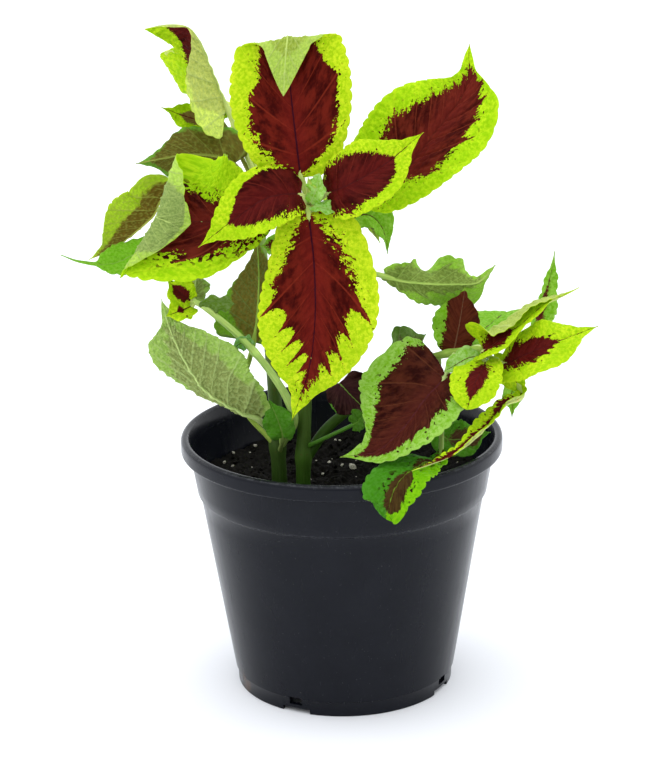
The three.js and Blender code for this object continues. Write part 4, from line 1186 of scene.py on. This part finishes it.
def make_leaf(name, leaf, seed, materials, node):
    """A blade with two faces and an edge between them, and its stalk and midrib, in one piece."""
    leaf = filled_in(leaf)
    line, length = leaf_frame(leaf)
    top, bottom, middle, readings = blade_sheet(leaf, line, length, seed)
    rows, columns = top.shape[:2]
    count = rows * columns
    rings, ring_flat = stalk_tube(line, length, middle)
    points = np.concatenate([top.reshape(-1, 3), bottom.reshape(-1, 3), rings.reshape(-1, 3)])

    upper = grid_faces(rows, columns)
    lower = grid_faces(rows, columns, count, flip=True)
    border = np.concatenate(
        [
            np.arange(columns),
            np.arange(1, rows) * columns + columns - 1,
            (rows - 1) * columns + np.arange(columns - 2, -1, -1),
            np.arange(rows - 2, 0, -1) * columns,
        ]
    )
    after = np.roll(border, -1)
    edge = np.stack([border, border + count, after + count, after], axis=1)
    stalk = tube_faces(rings.shape[0], rings.shape[1], 2 * count)
    faces = upper.tolist() + lower.tolist() + edge.tolist() + stalk
    slots = [0] * len(upper) + [1] * len(lower) + [0] * len(edge) + [2] * len(stalk)
    piece = make_piece(f"{name}_leaf", points, faces, materials, [node], slots)

    nothing = np.zeros((len(points) - 2 * count, 3))
    for reading, values in readings.items():
        sheet = values.reshape(-1, 3)
        on_tube = ring_flat.reshape(-1, 3) if reading == "flat" else nothing
        set_vectors(piece, reading, np.concatenate([sheet, sheet, on_tube]))
    palette = PALETTES[leaf["palette"]] | leaf["colours"]
    first_palette = palette | leaf["first_colours"]
    across = readings["flat"][..., 0].ravel()
    in_first = np.concatenate([across, across, nothing[:, 0]]) < 0
    for colour in palette:
        values = np.where(in_first[:, None], first_palette[colour], palette[colour])
        set_vectors(piece, colour, values)
    tone = leaf.get("stalk_tone", palette["under_vein"])
    set_vectors(piece, "tone", np.tile(tone, (len(points), 1)))


# Stems


def stem_line(name):
    """A stem's line, worked out once and then kept."""
    stem = STEMS[name]
    if "line" not in stem:
        points = list(stem["points"])
        if "parent" in stem:
            points.insert(0, stem_line(stem["parent"]).at(stem["start"])[0][0])
        stem["line"] = Line(points, (0, -1, 0.02), 0)
    return stem["line"]


def at_nodes(stem, fraction, reach):
    """1 at the stem's nodes, falling to 0 away from them."""
    return sum(bell(fraction - node, reach) for node in stem["nodes"])


def stem_radius(stem, fraction):
    plain = mix(*stem["radius"], fraction)
    return plain * (1 + NODE_SWELLING * np.minimum(at_nodes(stem, fraction, NODE_REACH), 1))


def square_section(angles):
    """A square with rounded corners and slightly hollow sides, one corner towards the face."""
    return 0.945 + 0.055 * np.cos(4 * angles) + 0.012 * np.cos(8 * angles)


def make_stems(group, material, node):
    """A stem and its branch as one piece."""
    points, faces, flats, tones = [], [], [], []
    first = 0
    for name in STEM_GROUPS[group]:
        stem = STEMS[name]
        line = stem_line(name)
        rings = round(line.total / STEM_RING_PITCH)
        fraction = np.linspace(0, 1, rings)
        point, _, face, side = line.at(fraction)
        radius = stem_radius(stem, fraction)
        radius = radius * (1 - 0.5 * smooth(1 - TIP_ROUNDING / line.total, 1, fraction))
        grid = tube(point, side, -face, radius, STEM_SIDES, square_section)[:, ::-1]
        points.append(grid.reshape(-1, 3))
        faces += tube_faces(rings, STEM_SIDES, first)
        first += rings * STEM_SIDES
        flat = np.zeros(grid.shape)
        flat[..., 0] = np.abs(np.linspace(-1, 1, STEM_SIDES))[None] * radius[:, None] * FIBRE_SPREAD
        flat[..., 1] = (fraction * line.total)[:, None]
        flat[..., 2] = len(points) * STEM_NUMBER_STEP
        flats.append(flat.reshape(-1, 3))
        low, high = (np.asarray(tone) for tone in stem["tones"])
        # Darker towards the soil: partly the stem's own colour, partly painted shade near the soil.
        tone = mix(low, high, (fraction**TONE_RISE)[:, None])
        tone = tone * (1 + NODE_LIGHTENING * at_nodes(stem, fraction, NODE_LIGHT_REACH)[:, None])
        tones.append(np.repeat(tone, STEM_SIDES, axis=0))
    piece = make_piece(f"{group}_stems", np.concatenate(points), faces, [material], [node])
    set_vectors(piece, "flat", np.concatenate(flats))
    set_vectors(piece, "tone", np.concatenate(tones))


def tip_leaflets(name):
    """The youngest pair of leaves, still upright at a shoot's tip."""
    length, turn = STEMS[name]["leaflets"]
    point, along, face, side = (value[0] for value in stem_line(name).at(1.0))
    for angle in (math.radians(turn), math.radians(turn + 180)):
        outward = side * math.cos(angle) + face * math.sin(angle)
        yield dict(
            stem=name, width=length * 0.55, widest=0.45, palette="crown", fold=25,
            spine=[
                point + along * (rise * length) + outward * (reach * length)
                for rise, reach in ((0.3, 0.08), (0.65, 0.25), (1, 0.6))
            ],
            face=-outward + 0.5 * along, red=[(0.1, 0.1), (0.4, 0.35), (0.7, 0)], step=0,
        )


# Pot


def plastic():
    """Black plastic, edges worn and with painted highlight, dust and a patch of dried mix near the
    foot.
    """
    nodes = new_material("pot_plastic")
    place = nodes.read("place")
    height = nodes.split(place)[2]
    clouds = nodes.noise(place, 0.05, 4.0, 0.6)
    darker, lighter = (0.0042, 0.005, 0.0085, 1), (0.006, 0.007, 0.011, 1)
    colour = nodes.blend(nodes.ramp(clouds, 0.3, 0.7), darker, lighter)
    # Pale bands along the collar, lip and rim edges: partly wear, partly a painted highlight for the
    # light caught on those edges.
    collar_edge = band_at(nodes, height, COLLAR_BOTTOM_Z, 0.7)
    lip_edge = band_at(nodes, height, POT_HEIGHT - LIP_HEIGHT, 0.7)
    rim_edge = band_at(nodes, height, POT_HEIGHT - RIM_WEAR_AND_GLINT_DEPTH, 0.45)
    edges = nodes.math("MULTIPLY_ADD", rim_edge, 2.0, nodes.math("MAXIMUM", collar_edge, lip_edge))
    scuffs_and_glints = nodes.ramp(nodes.noise(place, 0.5, 4.0, 0.7), 0.42, 0.66)
    wear_and_glint = nodes.times(nodes.times(edges, scuffs_and_glints), 0.16)
    colour = nodes.blend(wear_and_glint, colour, (0.1, 0.105, 0.115, 1))
    dust = nodes.ramp(nodes.noise(place, 0.9, 2.0, 0.7), 0.70, 0.745, 0.0, 0.3)
    colour = nodes.blend(dust, colour, (0.14, 0.14, 0.14, 1))
    from_dirt = nodes.add("VectorMath", {0: place, 1: DIRT_PLACE}, operation="DISTANCE")["Value"]
    near_dirt = nodes.ramp(from_dirt, 2.0, DIRT_REACH, 1.0, 0.0)
    crumbs = nodes.ramp(nodes.noise(place, 0.42), 0.42, 0.52, 0.0, 0.8)
    colour = nodes.blend(nodes.times(crumbs, near_dirt), colour, (0.09, 0.04, 0.012, 1))
    flow = nodes.noise(place, (0.3, 0.3, 0.05), 3.0)
    scratches = nodes.noise(place, (0.8, 0.8, 3.0), 2.0, 0.7)
    relief = nodes.relief((clouds, 0.25, 0.5), (scratches, 0.12, 0.05))
    return nodes.surface(colour, nodes.ramp(flow, 0.25, 0.75, 0.2, 0.28), 0.14, relief)


def band_at(nodes, value, middle, half_width):
    """1 where a value is at the middle of a band, falling to 0 at its edges."""
    away = nodes.distance_from(value, middle)
    return nodes.ramp(away, half_width * 0.4, half_width, 1.0, 0.0)


def arc(centre, radius, start, end, steps):
    """Points on an arc in a profile, as (radius, height), by angle in degrees."""
    angles = np.radians(np.linspace(start, end, steps))
    return [
        (centre[0] + radius * math.cos(angle), centre[1] + radius * math.sin(angle))
        for angle in angles
    ]


def between(start, end, steps):
    """Points in even steps between two places of a profile, without the two."""
    return [tuple(mix(np.array(start), np.array(end), k / steps)) for k in range(1, steps)]


def pot_profile():
    """The pot's section as (radius, height), up the outside and down the inside."""
    lip_bottom = POT_HEIGHT - LIP_HEIGHT
    inside = WALL_THICKNESS
    wall_low = (LEDGE_RADIUS, LEDGE_Z)
    wall_high = (WALL_TOP_RADIUS, COLLAR_BOTTOM_Z - 1.4)
    return [
        (0, 0), (FLOOR_DISC_RADIUS, 0), (FLOOR_DISC_RADIUS + 3, CHANNEL_FLOOR_Z),
        (FOOT_RADIUS - 2.4, CHANNEL_FLOOR_Z), (FOOT_RADIUS - 1.8, 0), (FOOT_RADIUS - 0.3, 0),
        (FOOT_RADIUS, 0.3), (FOOT_RADIUS + 0.3, LEDGE_Z - 0.7), (FOOT_RADIUS + 0.6, LEDGE_Z - 0.35),
        wall_low, *between(wall_low, wall_high, 12), wall_high,
        (WALL_TOP_RADIUS + 0.35, COLLAR_BOTTOM_Z - 0.9),
        (COLLAR_BOTTOM_RADIUS - 0.35, COLLAR_BOTTOM_Z - 0.25),
        (COLLAR_BOTTOM_RADIUS, COLLAR_BOTTOM_Z + 0.2),
        *between((COLLAR_BOTTOM_RADIUS, COLLAR_BOTTOM_Z + 0.2), (COLLAR_TOP_RADIUS, lip_bottom), 4),
        (COLLAR_TOP_RADIUS - 0.1, lip_bottom - 0.4), (COLLAR_TOP_RADIUS + 0.35, lip_bottom),
        *arc((RIM_RADIUS - LIP_ROUNDING, lip_bottom + LIP_ROUNDING), LIP_ROUNDING, -90, 0, 5),
        *between((RIM_RADIUS, lip_bottom + LIP_ROUNDING), (RIM_RADIUS, POT_HEIGHT - RIM_ROUNDING), 3),
        *arc((RIM_RADIUS - RIM_ROUNDING, POT_HEIGHT - RIM_ROUNDING), RIM_ROUNDING, 0, 90, 8),
        (COLLAR_TOP_RADIUS + 1.0, POT_HEIGHT - 0.2), (COLLAR_TOP_RADIUS + 0.2, POT_HEIGHT - 0.9),
        (COLLAR_TOP_RADIUS - inside, lip_bottom - 0.2),
        (COLLAR_BOTTOM_RADIUS - inside, COLLAR_BOTTOM_Z + 1.2),
        (WALL_TOP_RADIUS - inside, COLLAR_BOTTOM_Z - 0.8),
        (LEDGE_RADIUS - inside, CHANNEL_FLOOR_Z + inside + 0.8),
        (LEDGE_RADIUS - inside - 1, CHANNEL_FLOOR_Z + inside),
        (FLOOR_DISC_RADIUS + 2.4, CHANNEL_FLOOR_Z + inside), (FLOOR_DISC_RADIUS - 0.6, inside),
        (0, inside),
    ]


def revolved(profile, sides):
    """A closed body of revolution about Z, whose profile starts and ends on the axis."""
    angles = np.arange(sides) * 2 * np.pi / sides
    inner = np.asarray(profile[1:-1])
    radius, height = inner[:, 0, None], np.repeat(inner[:, 1, None], sides, axis=1)
    rings = np.stack([radius * np.cos(angles), radius * np.sin(angles), height], axis=-1)
    points = [*rings.reshape(-1, 3), (0, 0, profile[0][1]), (0, 0, profile[-1][1])]
    faces = grid_faces(len(inner), sides, closed=True).tolist()
    low_centre, high_centre = len(points) - 2, len(points) - 1
    last = (len(inner) - 1) * sides
    for corner in range(sides):
        beside = (corner + 1) % sides
        faces.append([low_centre, beside, corner])
        faces.append([high_centre, last + corner, last + beside])
    return np.asarray(points), faces


def foot_cutters():
    """Boxes across the foot's wall, where the drain openings and the notches are cut."""
    boxes = bmesh.new()
    for count, width, height, middle_z in (
        (DRAIN_COUNT, DRAIN_WIDTH, DRAIN_HEIGHT, LEDGE_Z - DRAIN_HEIGHT / 2 + DRAIN_RISE),
        (NOTCH_COUNT, NOTCH_WIDTH, NOTCH_HEIGHT * 2, 0),
    ):
        move = Matrix.Translation((FOOT_RADIUS * MM, 0, middle_z * MM))
        size = Matrix.Diagonal((CUTTER_LENGTH * MM, width * MM, height * MM, 1))
        for number in range(count):
            turn = Matrix.Rotation(math.radians(NOTCH_TURN + 360 / count * number - 90), 4, "Z")
            bmesh.ops.create_cube(boxes, size=1, matrix=turn @ move @ size)
    mesh = bpy.data.meshes.new("cutters")
    boxes.to_mesh(mesh)
    boxes.free()
    return mesh


def make_pot(material):
    """The pot, with its drain openings and foot notches cut out."""
    points, faces = revolved(pot_profile(), POT_SIDES)
    piece = make_piece("pot_body", points, faces, [material], ["pot"])
    cutter = add_object("cutters", foot_cutters())
    cut = piece.modifiers.new("holes", "BOOLEAN")
    cut.operation = "DIFFERENCE"
    cut.solver = "EXACT"
    cut.use_self = True
    cut.object = cutter
    evaluated = piece.evaluated_get(bpy.context.evaluated_depsgraph_get())
    finished = bpy.data.meshes.new_from_object(evaluated)
    piece.modifiers.clear()
    piece.data = finished
    bpy.data.objects.remove(cutter)
    finished.polygons.foreach_set("use_smooth", [True] * len(finished.polygons))
    finished.set_sharp_from_angle(angle=math.radians(SHARP_ANGLE))
    set_vectors(piece, "place", np.array([vertex.co for vertex in finished.vertices]) / MM)


# Soil


def peat():
    """Nearly black potting mix, with brown fibres."""
    nodes = new_material("peat")
    place = nodes.read("place")
    crumbs = nodes.noise(place, 0.7, 5.0, 0.7)
    fibres = nodes.noise(place, (0.5, 1.6, 1.0), 3.0, 0.7)
    darker, lighter = (0.0014, 0.0013, 0.0009, 1), (0.006, 0.005, 0.0032, 1)
    colour = nodes.blend(nodes.ramp(crumbs, 0.35, 0.7), darker, lighter)
    colour = nodes.blend(nodes.ramp(fibres, 0.6, 0.72, 0.0, 0.6), colour, (0.02, 0.013, 0.007, 1))
    return nodes.surface(colour, 0.9, 0.12, nodes.relief((crumbs, 0.7, 0.5)))


def perlite():
    """Off-white grains."""
    nodes = new_material("perlite")
    grains = nodes.noise(nodes.read("place"), 1.6, 4.0, 0.7)
    darker, lighter = (0.2, 0.18, 0.13, 1), (0.62, 0.6, 0.52, 1)
    colour = nodes.blend(nodes.ramp(grains, 0.3, 0.65), darker, lighter)
    return nodes.surface(colour, 0.85, 0.2, nodes.relief((grains, 0.8, 0.3)))


def soil_height(x, y):
    """The soil's surface without its crumbs: gentle waves that fall towards the wall."""
    waves = (
        np.sin(x * 0.31 + 1.3) * np.cos(y * 0.27)
        + 0.6 * np.sin(x * 0.71 - y * 0.53)
        + 0.4 * np.cos(x * 1.1 + y * 1.37)
    )
    return SOIL_LEVEL + SOIL_RELIEF * waves * 0.6 - 1.5 * (np.hypot(x, y) / 66) ** 4


def crumb_relief(x, y):
    """Lumps and crumbs of the potting mix, in millimetres."""
    place = Vector((x, y, 0))
    lumps = noise.noise(place * 0.13) * 1.1
    crumbs = abs(noise.noise(place * 0.34)) * 1.8
    grit = abs(noise.noise(place * 0.85)) * 1.0
    return lumps + crumbs + grit - 1.1


def make_soil(material):
    """The potting mix as one body that fills the pot, with lumps and crumbs on top."""
    clear = WALL_THICKNESS + SOIL_GAP
    edge_radius = WALL_TOP_RADIUS - clear + 1.1
    below = [
        (0, clear), (FLOOR_DISC_RADIUS - 1, clear),
        (FLOOR_DISC_RADIUS + 2, CHANNEL_FLOOR_Z + clear),
        (LEDGE_RADIUS - clear - 1.2, CHANNEL_FLOOR_Z + clear),
        (LEDGE_RADIUS - clear - 0.1, CHANNEL_FLOOR_Z + clear + 1),
        (WALL_TOP_RADIUS - clear - 0.2, COLLAR_BOTTOM_Z - 1),
    ]
    top = [(edge_radius * ring / SOIL_RINGS, SOIL_LEVEL) for ring in range(SOIL_RINGS, -1, -1)]
    points, faces = revolved(below + top, SOIL_SIDES)
    for point in points:
        if abs(point[2] - SOIL_LEVEL) < 1e-6:
            shrink = smooth(0, 1.2, edge_radius - np.hypot(point[0], point[1]))
            point[2] = soil_height(point[0], point[1]) + crumb_relief(point[0], point[1]) * shrink
    piece = make_piece("potting_mix", points, faces, [material], ["soil"])
    set_vectors(piece, "place", points)


def lump_mesh(subdivisions):
    """The points and faces of a plain round lump."""
    mesh = bmesh.new()
    bmesh.ops.create_icosphere(mesh, subdivisions=subdivisions, radius=1)
    points = np.array([vertex.co for vertex in mesh.verts])
    faces = np.array([[vertex.index for vertex in face.verts] for face in mesh.faces])
    mesh.free()
    return points, faces


def scattered_lumps(name, places, sizes, kind, material):
    """Small irregular lumps lying in the soil, each turned and dented in its own way."""
    rng = np.random.default_rng(kind["seed"])
    base, base_faces = lump_mesh(kind["detail"])
    points, faces = [], []
    for number, ((x, y), size) in enumerate(zip(places, sizes)):
        turn = np.array(Matrix.Rotation(rng.uniform(0, 6.28), 3, Vector(rng.normal(size=3))))
        longer = 1 + rng.uniform(0, kind["stretch"])
        scale = size / 2 * np.array([longer, 1, 1 - rng.uniform(0, 0.35)])
        offset = Vector((number * 3.7, 0, 0))
        dents = np.array([noise.noise(Vector(point) * 1.3 + offset) for point in base])
        lump = base * (1 + DENT_DEPTH * dents[:, None]) * scale @ turn.T
        ground = soil_height(x, y) + crumb_relief(x, y)
        points.append(lump + (x, y, ground + size * (0.5 - kind["sink"])))
        faces.append(base_faces + len(base) * number)
    points = np.concatenate(points)
    faces = np.concatenate(faces).tolist()
    piece = make_piece(name, points, faces, [material], ["soil"], smooth_faces=False)
    set_vectors(piece, "place", points)


def free_places(rng, count, reach):
    """Places on the soil, clear of the stems and the pot's wall."""
    stems_at = np.array([STEMS[group]["points"][1][:2] for group in STEM_GROUPS])
    found = []
    while len(found) < count:
        place = rng.uniform(-reach, reach, 2)
        clear = np.linalg.norm(stems_at - place, axis=1).min() > CLEAR_OF_STEMS
        if clear and np.linalg.norm(place) < reach:
            found.append(place)
    return found


def make_soil_bits(peat_material, perlite_material):
    """White grains where the photograph shows them, more of them elsewhere, and dark crumbs."""
    rng = np.random.default_rng(LAYING_SEED)
    for name, kind, places, sizes, material in (
        ("perlite_grains", PERLITE, SEEN_PERLITE, SEEN_PERLITE_SIZES, perlite_material),
        ("peat_crumbs", CRUMBS, [], [], peat_material),
    ):
        places = places + free_places(rng, kind["count"], kind["reach"])
        sizes = sizes + list(rng.uniform(*kind["sizes"], kind["count"]))
        scattered_lumps(name, places, sizes, kind, material)


# Floor, light and camera


def make_floor():
    """A wide white floor."""
    material = new_material("studio_floor").surface((0.9, 0.915, 0.95, 1), 0.75, 0.1)
    mesh = bpy.data.meshes.new("floor")
    corners = [(x * FLOOR_REACH, y * FLOOR_REACH, 0) for x, y in ((-1, -1), (1, -1), (1, 1), (-1, 1))]
    mesh.from_pydata(corners, [], [(0, 1, 2, 3)])
    mesh.materials.append(material)
    floor = add_object("floor", mesh)


def make_light():
    """An even white studio, darker on the camera's side, with two wide soft lights above."""
    world = bpy.data.worlds.new("studio")
    nodes = Nodes(world)
    _, depth, height = nodes.split(nodes.add("TexCoord", {})["Generated"])
    side = nodes.ramp(depth, -0.9, 0.3, DARK_SIDE, BRIGHT_SIDE)
    strength = nodes.math("MAXIMUM", side, nodes.ramp(height, 0.35, 0.8))
    background = nodes.tree.nodes["Background"]
    background.inputs["Color"].default_value = (0.95, 0.97, 1.0, 1)
    nodes.tree.links.new(strength, background.inputs["Strength"])
    bpy.context.scene.world = world
    add_sun("key", (-0.5, -0.75, 1.5), KEY_STRENGTH)
    add_sun("fill", (0.9, -0.2, 0.9), FILL_STRENGTH)


def add_sun(name, from_direction, strength):
    """A wide soft light from a direction."""
    light = bpy.data.lights.new(name, "SUN")
    light.energy = strength
    light.angle = math.radians(SUN_SPREAD)
    sun = add_object(name, light)
    sun.rotation_euler = Vector(from_direction).to_track_quat("Z", "Y").to_euler()


def make_camera():
    """A camera that looks level along Y, then down by its pitch, and rolls a little."""
    pitch, roll = math.radians(CAMERA_PITCH), math.radians(CAMERA_ROLL)
    forward = Vector((0, math.cos(pitch), -math.sin(pitch)))
    level_up = Vector((0, math.sin(pitch), math.cos(pitch)))
    level_right = Vector((1, 0, 0))
    right = level_right * math.cos(roll) + level_up * math.sin(roll)
    up = level_up * math.cos(roll) - level_right * math.sin(roll)
    data = bpy.data.cameras.new("camera")
    data.sensor_width = SENSOR
    data.lens = FOCAL_PIXELS * SENSOR / LONG_SIDE_PIXELS
    camera = add_object("camera", data)
    turn = Matrix((right, up, -forward)).transposed().to_4x4()
    camera.matrix_world = Matrix.Translation(Vector(CAMERA_PLACE) * MM) @ turn
    bpy.context.scene.camera = camera


# Assembly

make_camera()
make_floor()
make_light()
bpy.context.scene.view_settings.view_transform = "Standard"

stalk_material = stalk_green()
leaf_materials = [leaf_upper(), leaf_underside(), stalk_material]
make_pot(plastic())
peat_material = peat()
make_soil(peat_material)
make_soil_bits(peat_material, perlite())
for group in STEM_GROUPS:
    make_stems(group, stalk_material, f"stem_{group}")
for number, (name, leaf) in enumerate(LEAVES.items()):
    make_leaf(name, leaf, number + 1, leaf_materials, f"leaf_{name}")
for number, (name, leaf) in enumerate(SHOOT_LEAVES.items()):
    group = next(group for group, stems in STEM_GROUPS.items() if leaf["stem"] in stems)
    make_leaf(name, leaf, number + FIRST_SHOOT_SEED, leaf_materials, f"stem_{group}")
for number, leaflet in enumerate(tip_leaflets("rear")):
    make_leaf(f"rear_tip_{number + 1}", leaflet, LEAFLET_SEED, leaf_materials, "stem_rear")
